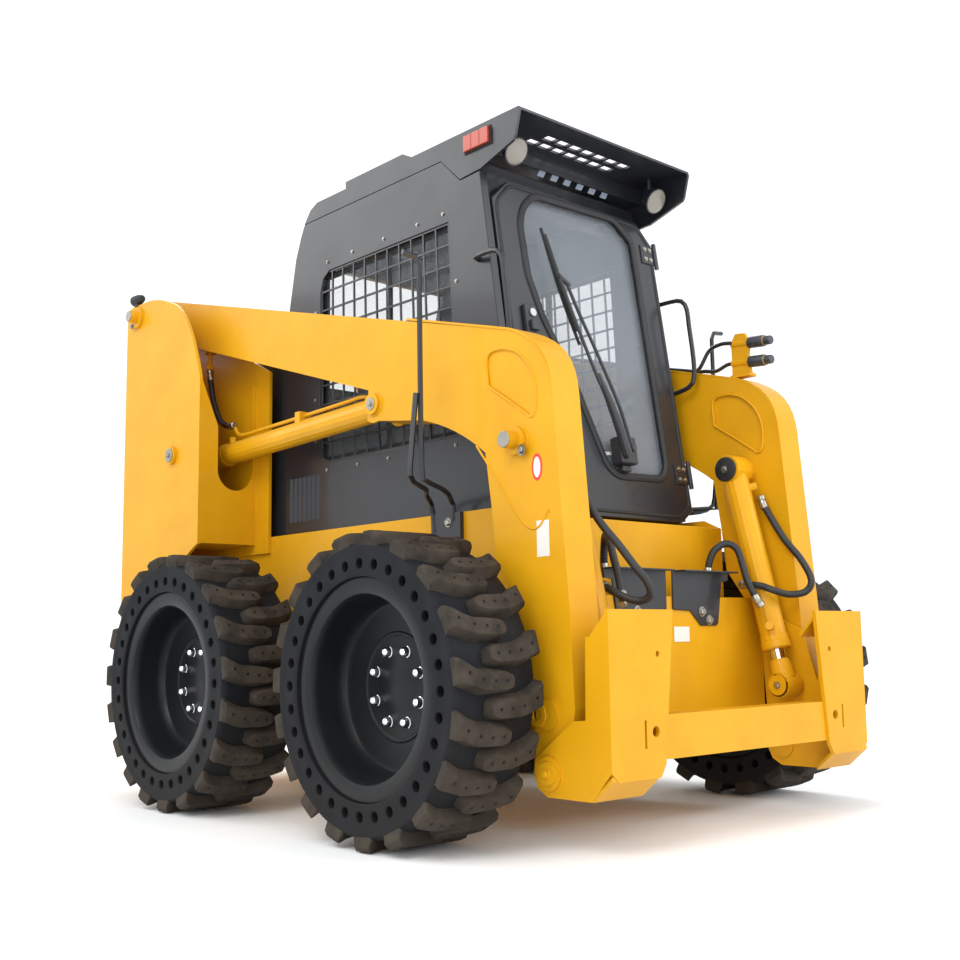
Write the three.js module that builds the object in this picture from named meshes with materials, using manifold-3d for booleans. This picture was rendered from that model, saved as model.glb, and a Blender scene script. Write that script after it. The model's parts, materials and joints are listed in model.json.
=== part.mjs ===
// A skid steer loader with vertical uprights, two lift arms, a quick hitch, a closed cab and
// four solid tyres.
// Units are millimetres. X points forward, Y to the machine's left, Z up, and the ground is Z = 0.
// Lengths along X are counted from the middle of the wheelbase; the whole machine is then moved
// by FRAME_SHIFT.
import * as THREE from 'three';
import { mergeVertices } from 'three/addons/utils/BufferGeometryUtils.js';
import Module from 'manifold-3d';

const wasm = await Module();
wasm.setup();

// ---------------------------------------------------------------- driving dimensions
const FRAME_SHIFT = 134.5;
const GAP = 0.3;
const RIGHT = -1;
const LEFT = 1;

const WHEELBASE = 1080;
const TYRE_RADIUS = 419;
const TYRE_INNER_Y = 625;
const TYRE_OUTER_Y = 930;
const RIM_RADIUS = 254;
const RIM_LIP_RADIUS = 294;
const RIM_OPENING_RADIUS = 240;
const WHEEL_DISC_Y = 781;
const WHEEL_SEGMENTS = 24;

const FRAME_SIDE_Y = 440;
const FRAME_BOTTOM_Z = 215;
const FRAME_TOP_Z = 925;
const FRAME_FRONT_X = 720;
const FRAME_REAR_X = -1300;
const PLATE = 12;

const UPRIGHT_OUTER_Y = 690;
const UPRIGHT_REAR_X = -1325;
const UPRIGHT_FRONT_X = -731;
const UPRIGHT_TOP_Z = 1880;
const WHEEL_ARCH_RADIUS = 515;

const ARM_INNER_Y = 468;
const ARM_OUTER_Y = 574;
const ARM_PIVOT = { x: -1228, z: 1829 };
const LIFT_PIN = { x: 163, z: 1278 };
const LIFT_FOOT = { x: -927, z: 1238 };
const TILT_PIN = { x: 805, z: 1077 };
const TILT_FOOT = { x: 966, z: 390 };
const HITCH_PIVOT = { x: 915, z: 200 };
const LIFT_LANE_Y = 521;
const TILT_LANE_Y = 403;

const CAB_HALF_WIDTH = 408;
const CAB_WALL = 30;
const CAB_ROOF_Z = 2136;
const CAB_EAVES_Z = 2074;
const DOOR_FOOT = { x: 646, z: 911 };
const DOOR_LEAN = THREE.MathUtils.degToRad(8.4);
const DOOR_RIGHT_Y = -366;
const DOOR_LEFT_Y = 396;
const DOOR_HEIGHT = 1072;
const DOOR_THICK = 38;

const HITCH_FRONT_X = 1128;
const HITCH_OUTER_Y = 586;
const EAR_Y = 463;

// ---------------------------------------------------------------- finishes
const finish = (color, roughness, metalness) => (
  new THREE.MeshStandardMaterial({ color, roughness, metalness })
);
const YELLOW = finish(0xf7b51e, 0.38, 0.0);
const BLACK_PAINT = finish(0x2c2e31, 0.42, 0.0);
const RIM_BLACK = finish(0x1d1e20, 0.45, 0.1);
const RUBBER = finish(0x2f2c2a, 0.85, 0.0);
const GLASS = finish(0x8b949c, 0.08, 0.0);
const CHROME = finish(0xc9ccd0, 0.18, 1.0);
const HOSE_BLACK = finish(0x1c1c1d, 0.6, 0.0);
const SEAT_BLACK = finish(0x222326, 0.7, 0.0);
const CAST_GREY = finish(0x5d6064, 0.6, 0.6);
const PLASTIC = finish(0x303236, 0.55, 0.0);

// ---------------------------------------------------------------- solids
function toSolid(geometry) {
  const bare = geometry.clone();
  for (const name of Object.keys(bare.attributes)) {
    if (name !== 'position') bare.deleteAttribute(name);
  }
  const merged = mergeVertices(bare, 1e-3);
  const vertProperties = new Float32Array(merged.attributes.position.array);
  const triVerts = new Uint32Array(merged.index.array);
  if (signedVolume(vertProperties, triVerts) < 0) {
    for (let t = 0; t < triVerts.length; t += 3) {
      [triVerts[t + 1], triVerts[t + 2]] = [triVerts[t + 2], triVerts[t + 1]];
    }
  }
  return new wasm.Manifold(new wasm.Mesh({ numProp: 3, vertProperties, triVerts }));
}

function signedVolume(positions, triangles) {
  const corner = (k) => new THREE.Vector3().fromArray(positions, 3 * triangles[k]);
  let total = 0;
  for (let t = 0; t < triangles.length; t += 3) {
    total += corner(t).dot(corner(t + 1).cross(corner(t + 2))) / 6;
  }
  return total;
}

function toGeometry(solid) {
  const mesh = solid.getMesh();
  const geometry = new THREE.BufferGeometry();
  geometry.setAttribute('position', new THREE.BufferAttribute(new Float32Array(mesh.vertProperties), 3));
  geometry.setIndex(new THREE.BufferAttribute(new Uint32Array(mesh.triVerts), 1));
  geometry.computeVertexNormals();
  return geometry;
}

const join = (...solids) => solids.reduce((sum, next) => sum.add(next));
const cut = (solid, ...tools) => tools.reduce((rest, tool) => rest.subtract(tool), solid);

// A block between two corners.
function block(x0, x1, y0, y1, z0, z1) {
  const geometry = new THREE.BoxGeometry(x1 - x0, y1 - y0, z1 - z0);
  geometry.translate((x0 + x1) / 2, (y0 + y1) / 2, (z0 + z1) / 2);
  return toSolid(geometry);
}

// A block on one side of the machine, between two distances from its centre line.
function sideBlock(side, x0, x1, near, far, z0, z1) {
  return side > 0 ? block(x0, x1, near, far, z0, z1) : block(x0, x1, -far, -near, z0, z1);
}

function toShape(outline) {
  if (outline instanceof THREE.Shape) return outline;
  return new THREE.Shape(outline.map(([a, b]) => new THREE.Vector2(a, b)));
}

// An outline in X and Z, carried along Y from y0 to y1.
function plateAlongY(outline, y0, y1, curveSegments = 8) {
  const settings = { depth: y1 - y0, bevelEnabled: false, curveSegments };
  const geometry = new THREE.ExtrudeGeometry(toShape(outline), settings);
  geometry.rotateX(Math.PI / 2);
  geometry.translate(0, y1, 0);
  return toSolid(geometry);
}

// The same outline as a plate on one side of the machine.
function sidePlate(side, outline, near, far, curveSegments = 8) {
  return side > 0
    ? plateAlongY(outline, near, far, curveSegments)
    : plateAlongY(outline, -far, -near, curveSegments);
}

// An outline in Y and Z, carried along X from x0 to x1.
function plateAlongX(outline, x0, x1, curveSegments = 8) {
  const settings = { depth: x1 - x0, bevelEnabled: false, curveSegments };
  const geometry = new THREE.ExtrudeGeometry(toShape(outline), settings);
  const turn = new THREE.Matrix4().makeBasis(
    new THREE.Vector3(0, 1, 0),
    new THREE.Vector3(0, 0, 1),
    new THREE.Vector3(1, 0, 0),
  );
  geometry.applyMatrix4(turn);
  geometry.translate(x0, 0, 0);
  return toSolid(geometry);
}

// An outline in X and Y, carried up from z0 to z1.
function plateAlongZ(outline, z0, z1) {
  const geometry = new THREE.ExtrudeGeometry(toShape(outline), { depth: z1 - z0, bevelEnabled: false });
  geometry.translate(0, 0, z0);
  return toSolid(geometry);
}

// A round bar between two points.
function bar(from, to, radius, segments = 14) {
  const start = new THREE.Vector3(...from);
  const along = new THREE.Vector3(...to).sub(start);
  const geometry = new THREE.CylinderGeometry(radius, radius, along.length(), segments);
  geometry.translate(0, along.length() / 2, 0);
  const turn = new THREE.Quaternion();
  turn.setFromUnitVectors(new THREE.Vector3(0, 1, 0), along.normalize());
  geometry.applyQuaternion(turn);
  geometry.translate(...from);
  return toSolid(geometry);
}

// A pin, boss or eye across the machine at a pivot, on one side, between two distances from the centre line.
function cross(side, pivot, radius, near, far, segments = 14) {
  return bar([pivot.x, side * near, pivot.z], [pivot.x, side * far, pivot.z], radius, segments);
}

// A round section carried along a smooth curve through hand-placed points.
function tube(points, radius, sides = 8, steps = 40, tension = 0.5) {
  const stations = points.map((p) => new THREE.Vector3(...p));
  const path = new THREE.CatmullRomCurve3(stations, false, 'catmullrom', tension);
  const section = new THREE.Shape();
  section.absarc(0, 0, radius, 0, 2 * Math.PI, false);
  const round = new THREE.Shape(section.getSpacedPoints(sides).slice(0, sides));
  return toSolid(new THREE.ExtrudeGeometry(round, { extrudePath: path, steps, bevelEnabled: false }));
}

// A closed profile of [radius, y] turned about the Y axis.
function turned(profile, segments) {
  const points = profile.map(([r, y]) => new THREE.Vector2(r, y));
  return toSolid(new THREE.LatheGeometry(points, segments));
}

// ---------------------------------------------------------------- scene graph
const machine = new THREE.Group();
machine.position.x = FRAME_SHIFT;

function add(name, solid, material, parent = machine) {
  const mesh = new THREE.Mesh(toGeometry(solid), material);
  mesh.name = name;
  parent.add(mesh);
  return mesh;
}

const sideName = (side) => (side === RIGHT ? 'right' : 'left');

// ---------------------------------------------------------------- chassis
function mainFrame() {
  const inner = FRAME_SIDE_Y - PLATE;
  const floor = block(FRAME_REAR_X, FRAME_FRONT_X, -inner, inner, FRAME_BOTTOM_Z, FRAME_BOTTOM_Z + PLATE);
  const front = plateAlongY(
    [[600, 905], [600, 893], [FRAME_FRONT_X - PLATE, 883], [FRAME_FRONT_X - PLATE, FRAME_BOTTOM_Z],
      [FRAME_FRONT_X, FRAME_BOTTOM_Z], [FRAME_FRONT_X, 895]],
    -inner, inner,
  );
  const pieces = [floor, front];
  for (const side of [RIGHT, LEFT]) {
    const wall = [[FRAME_REAR_X, FRAME_BOTTOM_Z], [FRAME_FRONT_X, FRAME_BOTTOM_Z], [FRAME_FRONT_X, 895],
      [655, FRAME_TOP_Z], [FRAME_REAR_X, FRAME_TOP_Z]];
    pieces.push(sidePlate(side, wall, inner, FRAME_SIDE_Y - GAP));
    pieces.push(
      sideBlock(side, FRAME_REAR_X + 240, FRAME_FRONT_X - 6, 270, inner + 2, FRAME_BOTTOM_Z + 6, 520),
    );
    for (const end of [-1, 1]) {
      const hub = { x: (end * WHEELBASE) / 2, z: TYRE_RADIUS };
      pieces.push(cross(side, hub, 95, inner, FRAME_SIDE_Y + 30, 16));
      pieces.push(cross(side, hub, 72, inner, 560, 16));
    }
  }
  return join(...pieces);
}

function engineBlock() {
  return block(-1200, -760, -250, 250, 300, 900);
}

function engineCover() {
  const outline = [[-1290, 1350], [-1290, 1338], [-720, 1448], [-720, 1460]];
  const inner = FRAME_SIDE_Y - 8;
  return plateAlongY(outline, -inner, inner);
}

function rearBumper() {
  const outline = [[-1302, 230], [-1302, 470], [-1385, 470], [-1397, 440], [-1397, 290], [-1340, 230]];
  return plateAlongY(outline, -UPRIGHT_OUTER_Y, UPRIGHT_OUTER_Y);
}

function rearDoor() {
  const skin = [[-1330, 490], [-1362, 500], [-1392, 560], [-1392, 1180], [-1340, 1330], [-1330, 1330]];
  const hollow = [[-1329, 500], [-1354, 508], [-1380, 563], [-1380, 1176], [-1334, 1322], [-1329, 1322]];
  const half = FRAME_SIDE_Y - 12;
  const shell = cut(plateAlongY(skin, -half, half), plateAlongY(hollow, -half + PLATE, half - PLATE));
  const slats = [];
  for (let z = 700; z < 1100; z += 80) {
    slats.push(block(-1400, -1370, -260, 260, z, z + 30));
  }
  return cut(shell, ...slats);
}

// ---------------------------------------------------------------- uprights
function uprightProfile(frontX, frontTopZ) {
  const shape = new THREE.Shape();
  const hubX = -WHEELBASE / 2;
  const reach = Math.acos((520 - TYRE_RADIUS) / WHEEL_ARCH_RADIUS);
  const meet = Math.asin((frontX - hubX) / -WHEEL_ARCH_RADIUS);
  shape.moveTo(UPRIGHT_REAR_X, 520);
  shape.lineTo(hubX - WHEEL_ARCH_RADIUS * Math.sin(reach), 520);
  shape.absarc(hubX, TYRE_RADIUS, WHEEL_ARCH_RADIUS, Math.PI / 2 + reach, Math.PI / 2 + meet, true);
  shape.lineTo(frontX, frontTopZ);
  shape.bezierCurveTo(-790, 1690, -860, 1800, -960, 1832);
  shape.quadraticCurveTo(-1060, 1874, -1150, UPRIGHT_TOP_Z);
  shape.lineTo(UPRIGHT_REAR_X + 50, UPRIGHT_TOP_Z + 3);
  shape.quadraticCurveTo(UPRIGHT_REAR_X, UPRIGHT_TOP_Z + 3, UPRIGHT_REAR_X, UPRIGHT_TOP_Z - 45);
  return shape;
}

function upright(side) {
  const innerFace = FRAME_SIDE_Y + PLATE;
  const outerFace = UPRIGHT_OUTER_Y - PLATE;
  const outer = sidePlate(side, uprightProfile(UPRIGHT_FRONT_X, 1505), outerFace, UPRIGHT_OUTER_Y, 10);
  const innerOutline = [[UPRIGHT_REAR_X, 475], [-1050, 475], [-1050, FRAME_TOP_Z - 60],
    [-640, FRAME_TOP_Z - 60], [-640, 1540], [-760, 1600], [-900, 1790], [-1080, 1862],
    [UPRIGHT_REAR_X + 30, 1862], [UPRIGHT_REAR_X, 1830]];
  const inner = sidePlate(side, innerOutline, FRAME_SIDE_Y, innerFace);

  // The front plate has a round-ended slot for the lift cylinder and a slanted outer corner.
  const slotInner = 463;
  const slotOuter = 612;
  const slotMiddle = (slotInner + slotOuter) / 2;
  const slotRadius = (slotOuter - slotInner) / 2;
  const front = new THREE.Shape();
  front.moveTo(side * (innerFace - 2), 900);
  front.lineTo(side * (outerFace + 2), 900);
  front.lineTo(side * (outerFace + 2), 1500);
  front.lineTo(side * slotOuter, 1330);
  front.lineTo(side * slotOuter, 1172);
  if (side > 0) front.absarc(slotMiddle, 1172, slotRadius, 0, Math.PI, true);
  else front.absarc(-slotMiddle, 1172, slotRadius, Math.PI, 0, false);
  front.lineTo(side * slotInner, 1500);
  front.lineTo(side * (innerFace - 2), 1500);
  const flange = plateAlongX(front, UPRIGHT_FRONT_X - PLATE, UPRIGHT_FRONT_X);

  const rearFace = UPRIGHT_REAR_X + PLATE;
  const rear = sideBlock(side, UPRIGHT_REAR_X + 1, rearFace, innerFace - 2, outerFace + 2, 521, 1700);
  const shelf = sideBlock(side, -1010, UPRIGHT_FRONT_X - 2, innerFace - 2, outerFace + 2, 900, 900 + PLATE);
  const foot = sideBlock(side, UPRIGHT_REAR_X + 1, -1046, innerFace - 2, outerFace + 2, 521, 521 + PLATE);
  const bosses = [
    cross(side, ARM_PIVOT, 42, outerFace + 2, UPRIGHT_OUTER_Y + 12),
    cross(side, ARM_PIVOT, 24, outerFace + 2, UPRIGHT_OUTER_Y + 42),
    cross(side, ARM_PIVOT, 42, ARM_OUTER_Y + 8, outerFace + 2),
    cross(side, LIFT_FOOT, 34, outerFace + 2, UPRIGHT_OUTER_Y + 14),
    cross(side, LIFT_FOOT, 30, LIFT_LANE_Y + 42, outerFace + 2),
    cross(side, LIFT_FOOT, 30, innerFace - 2, LIFT_LANE_Y - 42),
  ];
  return join(outer, inner, flange, rear, shelf, foot, ...bosses);
}

// ---------------------------------------------------------------- lift arm
function armOutline() {
  const shape = new THREE.Shape();
  shape.moveTo(-1196, 1745);
  shape.lineTo(133, 1328);
  shape.lineTo(128, 1240);
  shape.absarc(LIFT_PIN.x, LIFT_PIN.z - 2, 56, Math.PI + 0.85, 1.5 * Math.PI + 0.35, false);
  shape.lineTo(211, 1219);
  shape.lineTo(401, 1193);
  shape.quadraticCurveTo(560, 1150, 676, 1061);
  shape.lineTo(699, 904);
  shape.lineTo(714, 758);
  shape.lineTo(790, 650);
  shape.lineTo(840, 500);
  shape.lineTo(856, 215);
  shape.absarc(HITCH_PIVOT.x, HITCH_PIVOT.z, 60, Math.PI, 2 * Math.PI, false);
  shape.lineTo(997, 365);
  shape.lineTo(988, 615);
  shape.lineTo(942, 1195);
  shape.bezierCurveTo(936, 1300, 885, 1365, 782, 1393);
  shape.lineTo(-1205, 1912);
  shape.absarc(ARM_PIVOT.x, ARM_PIVOT.z, 86, 1.3, 1.3 + 3.6, false);
  return shape;
}

function arm(side) {
  const beam = sidePlate(side, armOutline(), ARM_INNER_Y, ARM_OUTER_Y, 8);

  // The lift cylinder's eye sits in a pocket between the arm's two plates.
  const eyePocket = cross(side, LIFT_PIN, 66, LIFT_LANE_Y - 46, LIFT_LANE_Y + 46, 16);
  const eyeMouth = sidePlate(
    side, [[0, 1205], [LIFT_PIN.x, 1205], [LIFT_PIN.x, 1352], [0, 1390]], LIFT_LANE_Y - 46, LIFT_LANE_Y + 46,
  );

  // A shallow pressed pocket stiffens each side plate at the knee.
  const pocket = new THREE.Shape();
  pocket.moveTo(690, 1260);
  pocket.lineTo(690, 1335);
  pocket.bezierCurveTo(720, 1352, 790, 1340, 834, 1306);
  pocket.bezierCurveTo(880, 1260, 890, 1200, 876, 1150);
  pocket.quadraticCurveTo(860, 1134, 840, 1152);
  pocket.lineTo(700, 1240);
  const pressed = [
    sidePlate(side, pocket, ARM_OUTER_Y - 5, ARM_OUTER_Y + 5),
    sidePlate(side, pocket, ARM_INNER_Y - 5, ARM_INNER_Y + 5),
  ];
  const bosses = [
    cross(side, ARM_PIVOT, 55, ARM_OUTER_Y - 2, ARM_OUTER_Y + 7),
    cross(side, LIFT_PIN, 34, ARM_OUTER_Y - 2, ARM_OUTER_Y + 14),
    cross(side, LIFT_PIN, 24, ARM_INNER_Y + 2, ARM_OUTER_Y - 2),
    cross(side, TILT_PIN, 40, ARM_OUTER_Y - 2, ARM_OUTER_Y + 16),
    cross(side, TILT_PIN, 24, ARM_OUTER_Y - 2, ARM_OUTER_Y + 50),
    cross(side, TILT_PIN, 40, TILT_LANE_Y + 46, ARM_INNER_Y + 2),
    cross(side, TILT_PIN, 22, TILT_LANE_Y - 40, ARM_INNER_Y + 2),
    cross(side, { x: 902, z: 347 }, 40, ARM_OUTER_Y - 2, ARM_OUTER_Y + 6),
  ];
  return join(cut(beam, eyePocket, eyeMouth, ...pressed), ...bosses);
}

// The plate that ties the two arms together behind the hitch.
const CROSS_PLATE_X = 832;
const CROSS_PLATE_TOP_Z = 662;

function armCrossMember() {
  const reach = ARM_INNER_Y - GAP;
  const plate = block(CROSS_PLATE_X, CROSS_PLATE_X + PLATE, -reach, reach, 225, CROSS_PLATE_TOP_Z);
  const foldZ = [CROSS_PLATE_TOP_Z - PLATE, CROSS_PLATE_TOP_Z];
  const topFold = block(CROSS_PLATE_X - 60, CROSS_PLATE_X + 1, -reach, reach, ...foldZ);
  const bottomFold = block(CROSS_PLATE_X - 40, CROSS_PLATE_X + 1, -reach, reach, 225, 225 + PLATE);
  return join(plate, topFold, bottomFold);
}

// The black steel brackets that carry the hose ends on the cross member.
function hoseBracket(side) {
  const face = CROSS_PLATE_X + PLATE + GAP;
  const outline = [[15, 740], [290, 740], [288, 712], [254, 707], [232, 582], [222, 574], [146, 574], [98, 618],
    [15, 622]].map(([y, z]) => [side * y, z]);
  return plateAlongX(outline, face, face + 6);
}

// A plate on top of the left arm holds the two auxiliary hydraulic couplers.
function couplerBracket() {
  const plate = [[735, 1412], [735, 1535], [752, 1562], [790, 1558], [806, 1520], [800, 1470], [812, 1412]];
  const bracket = sidePlate(LEFT, plate, 517, 529);
  const foot = block(735, 812, 505, 545, 1408, 1418);
  const couplers = [1528, 1462].map((z) => join(
    bar([735, 523, z], [890, 523, z - 12], 13, 12),
    bar([800, 523, z - 5], [868, 523, z - 10], 18, 12),
  ));
  return join(bracket, foot, ...couplers);
}

// ---------------------------------------------------------------- quick hitch
function hitchFrame() {
  const front = HITCH_FRONT_X;
  const beam = block(front - 70, front - 8, -380, 380, 232, 345);
  const pieces = [beam];
  for (const side of [RIGHT, LEFT]) {
    const face = plateAlongX(
      [[side * 334, 613], [side * HITCH_OUTER_Y, 613], [side * HITCH_OUTER_Y, 215], [side * 560, 190],
        [side * 400, 190], [side * 378, 222]],
      front - PLATE, front,
    );
    const outerCheek = [[front - 2, 611], [1062, 545], [1050, 545], [1044, 338], [1000, 335], [862, 232], [858, 196],
      [872, 160], [906, 140], [1060, 140], [front - 2, 215]];
    const ear = [[front - 2, 611], [1062, 545], [1048, 398], [1000, 557], [908, 603], [902, 592], [928, 400],
      [936, 350], [1000, 300], [862, 232], [858, 190], [872, 160], [906, 140], [1060, 140], [front - 2, 215]];
    pieces.push(face);
    pieces.push(sidePlate(side, outerCheek, ARM_OUTER_Y + 5, HITCH_OUTER_Y));
    pieces.push(sidePlate(side, ear, EAR_Y - 10, EAR_Y));
    const upperRib = [[front - 2, 611], [1062, 545], [1062, 535], [front - 2, 601]];
    pieces.push(sidePlate(side, upperRib, 345, HITCH_OUTER_Y - 2));
    const lowerRib = [[front - 2, 205], [1064, 150], [1064, 140], [front - 2, 193]];
    pieces.push(sidePlate(side, lowerRib, 400, HITCH_OUTER_Y - 2));
    pieces.push(cross(side, HITCH_PIVOT, 44, ARM_OUTER_Y + 5, HITCH_OUTER_Y + 8));
    pieces.push(cross(side, HITCH_PIVOT, 36, EAR_Y - 16, EAR_Y));
    pieces.push(cross(side, TILT_FOOT, 34, EAR_Y - 16, EAR_Y));
  }
  const holes = [RIGHT, LEFT].flatMap((side) => [
    bar([front - 30, side * 415, 305], [front + 30, side * 415, 305], 14, 14),
    block(front - 30, front + 30, side * 455 - 4, side * 455 + 4, 265, 335),
    bar([front - 30, side * 400, 500], [front + 30, side * 400, 500], 8, 12),
  ]);
  return cut(join(...pieces), ...holes);
}

// ---------------------------------------------------------------- hydraulic cylinders
// Each cylinder is laid out on its own axis from its barrel pin, and its group is turned onto the real line.
function cylinderGroup(side, pin, foot, lane) {
  const group = new THREE.Group();
  group.position.set(pin.x, side * lane, pin.z);
  group.rotation.y = -Math.atan2(foot.z - pin.z, foot.x - pin.x);
  machine.add(group);
  return group;
}

const pinDistance = (pin, foot) => Math.hypot(foot.x - pin.x, foot.z - pin.z);

// Port angles are counted about the cylinder's axis, from Y towards the local Z.
function barrel(end, radius, bore, boreStart, eye, portAngles) {
  const body = join(
    bar([20, 0, 0], [end, 0, 0], radius, 16),
    bar([end - 34, 0, 0], [end, 0, 0], radius + 3, 16),
    bar([0, -eye.half, 0], [0, eye.half, 0], eye.radius, 16),
  );
  const ports = [70, end - 60].map((x, i) => {
    const out = new THREE.Vector3(0, Math.cos(portAngles[i]), Math.sin(portAngles[i]));
    const root = out.clone().multiplyScalar(radius - 6);
    const tip = out.clone().multiplyScalar(radius + 20);
    return bar([x, root.y, root.z], [x, tip.y, tip.z], 14, 8);
  });
  const hole = bar([boreStart, 0, 0], [end + 10, 0, 0], bore, 16);
  const pinHole = bar([0, -eye.half - 5, 0], [0, eye.half + 5, 0], eye.hole, 16);
  return cut(join(body, ...ports), hole, pinHole);
}

function rod(length, inner, radius, eye) {
  return join(
    bar([inner, 0, 0], [length - eye.radius + 8, 0, 0], radius, 16),
    bar([length, -eye.half, 0], [length, eye.half, 0], eye.radius, 16),
  );
}

function liftCylinder(side) {
  const group = cylinderGroup(side, LIFT_PIN, LIFT_FOOT, LIFT_LANE_Y);
  const length = pinDistance(LIFT_PIN, LIFT_FOOT);
  const up = -Math.PI / 2;
  const barrelEye = { half: 36, radius: 44, hole: 25 };
  const barrelPiece = barrel(1000, 40, 26, 190, barrelEye, [up, up]);
  add(`lift_barrel_${sideName(side)}`, barrelPiece, YELLOW, group);
  add(`lift_rod_${sideName(side)}`, rod(length, 205, 24, { half: 36, radius: 40 }), CHROME, group);
}

function tiltCylinder(side) {
  const group = cylinderGroup(side, TILT_PIN, TILT_FOOT, TILT_LANE_Y);
  const length = pinDistance(TILT_PIN, TILT_FOOT);
  const frontOut = side > 0 ? 1.05 : Math.PI - 1.05;
  const frontIn = side > 0 ? Math.PI - 0.5 : 0.5;
  const barrelEye = { half: 40, radius: 48, hole: 23 };
  const barrelPiece = barrel(585, 41, 26, 118, barrelEye, [frontOut, frontIn]);
  add(`tilt_barrel_${sideName(side)}`, barrelPiece, YELLOW, group);
  add(`tilt_rod_${sideName(side)}`, rod(length, 150, 24, { half: 40, radius: 36 }), CHROME, group);
}

// ---------------------------------------------------------------- wheels
function rim(side) {
  const lipIn = 650;
  const lipOut = 903;
  const back = WHEEL_DISC_Y - PLATE;
  const profile = [[0, 566], [66, 566], [66, back], [RIM_OPENING_RADIUS, back], [RIM_OPENING_RADIUS, lipIn],
    [RIM_LIP_RADIUS, lipIn], [RIM_LIP_RADIUS, lipIn + 8], [RIM_RADIUS, lipIn + 14], [RIM_RADIUS, lipOut - 14],
    [RIM_LIP_RADIUS, lipOut - 8], [RIM_LIP_RADIUS, lipOut], [RIM_OPENING_RADIUS, lipOut],
    [RIM_OPENING_RADIUS, WHEEL_DISC_Y], [0, WHEEL_DISC_Y]];
  return turned(profile.map(([r, y]) => [r, side * y]), WHEEL_SEGMENTS);
}

function tyre(side) {
  const seat = RIM_RADIUS + GAP;
  const lip = RIM_LIP_RADIUS + GAP;
  const profile = [[seat, 665], [seat, 888], [lip, 894], [lip, 912], [368, 912], [396, TYRE_OUTER_Y],
    [TYRE_RADIUS, 905], [TYRE_RADIUS, 650], [396, TYRE_INNER_Y], [368, 643], [lip, 643], [lip, 659], [seat, 665]];
  return turned(profile.map(([r, y]) => [r, side * y]), WHEEL_SEGMENTS);
}

function wheel(side, end) {
  const group = new THREE.Group();
  group.position.set((end * WHEELBASE) / 2, 0, TYRE_RADIUS);
  machine.add(group);
  const place = `${end > 0 ? 'front' : 'rear'}_${sideName(side)}`;
  add(`rim_${place}`, rim(side), RIM_BLACK, group);
  add(`tyre_${place}`, tyre(side), RUBBER, group);
}

// ---------------------------------------------------------------- cab
const leanX = (z) => DOOR_FOOT.x - (z - DOOR_FOOT.z) * Math.tan(DOOR_LEAN);

// The rear edge of the cab, from the chassis to the eaves.
const CAB_REAR = [[-690, FRAME_TOP_Z + GAP], [-578, 1768], [-536, 1954], [-503, 2032], [-480, CAB_EAVES_Z]];

function cabSide(side) {
  // The door lies over the front edge of the left side, and beside that of the right.
  const setBack = side === LEFT ? DOOR_THICK + 6 : 0;
  const outline = [...CAB_REAR, [303, CAB_EAVES_Z], [395, 1984], [leanX(1990) - setBack, 1988],
    [leanX(FRAME_TOP_Z) - setBack, FRAME_TOP_Z + GAP]];
  const wall = sidePlate(side, outline, CAB_HALF_WIDTH - CAB_WALL, CAB_HALF_WIDTH);
  return cut(wall, sidePlate(side, sideWindow(0), CAB_HALF_WIDTH - CAB_WALL - 5, CAB_HALF_WIDTH + 5));
}

// The side window's outline, drawn in by an inset.
function sideWindow(inset) {
  return [[-310, 1168 + inset], [370 - inset, 1168 + inset], [334 - inset, 1862 - inset], [-320, 1862 - inset],
    [-358 + inset, 1838 - inset], [-374 + inset, 1790], [-374 + inset, 1240], [-356 + inset, 1188 + inset]];
}

// A steel grille fills each side window; here it is a frame with coarse openings.
function sideGrille(side) {
  const plate = sidePlate(side, sideWindow(3), CAB_HALF_WIDTH - 10, CAB_HALF_WIDTH - 4);
  const openings = [];
  for (let column = 0; column < 4; column += 1) {
    for (let row = 0; row < 4; row += 1) {
      const x = -346 + column * 166;
      const z = 1194 + row * 164;
      openings.push(sideBlock(side, x, x + 152, CAB_HALF_WIDTH - 20, CAB_HALF_WIDTH + 4, z, z + 150));
    }
  }
  return cut(plate, ...openings);
}

function sideGlass(side) {
  return sidePlate(side, sideWindow(3), CAB_HALF_WIDTH - 26, CAB_HALF_WIDTH - 21);
}

const INSIDE_Y = CAB_HALF_WIDTH - CAB_WALL - GAP;

function cabRear() {
  const inner = CAB_REAR.map(([x, z]) => [x + CAB_WALL, z]).reverse();
  const wall = plateAlongY([...CAB_REAR, ...inner], -INSIDE_Y, INSIDE_Y);
  return cut(wall, block(-700, -480, -290, 290, 1500, 1940));
}

function rearGlass() {
  const line = (z) => -578 + ((z - 1768) * 42) / 186 + 12;
  const low = (z) => -690 + ((z - FRAME_TOP_Z) * 112) / 843 + 12;
  const outline = [[low(1502), 1502], [low(1768), 1768], [line(1938), 1938], [line(1938) + 5, 1938],
    [low(1768) + 5, 1768], [low(1502) + 5, 1502]];
  return plateAlongY(outline, -289, 289);
}

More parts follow.
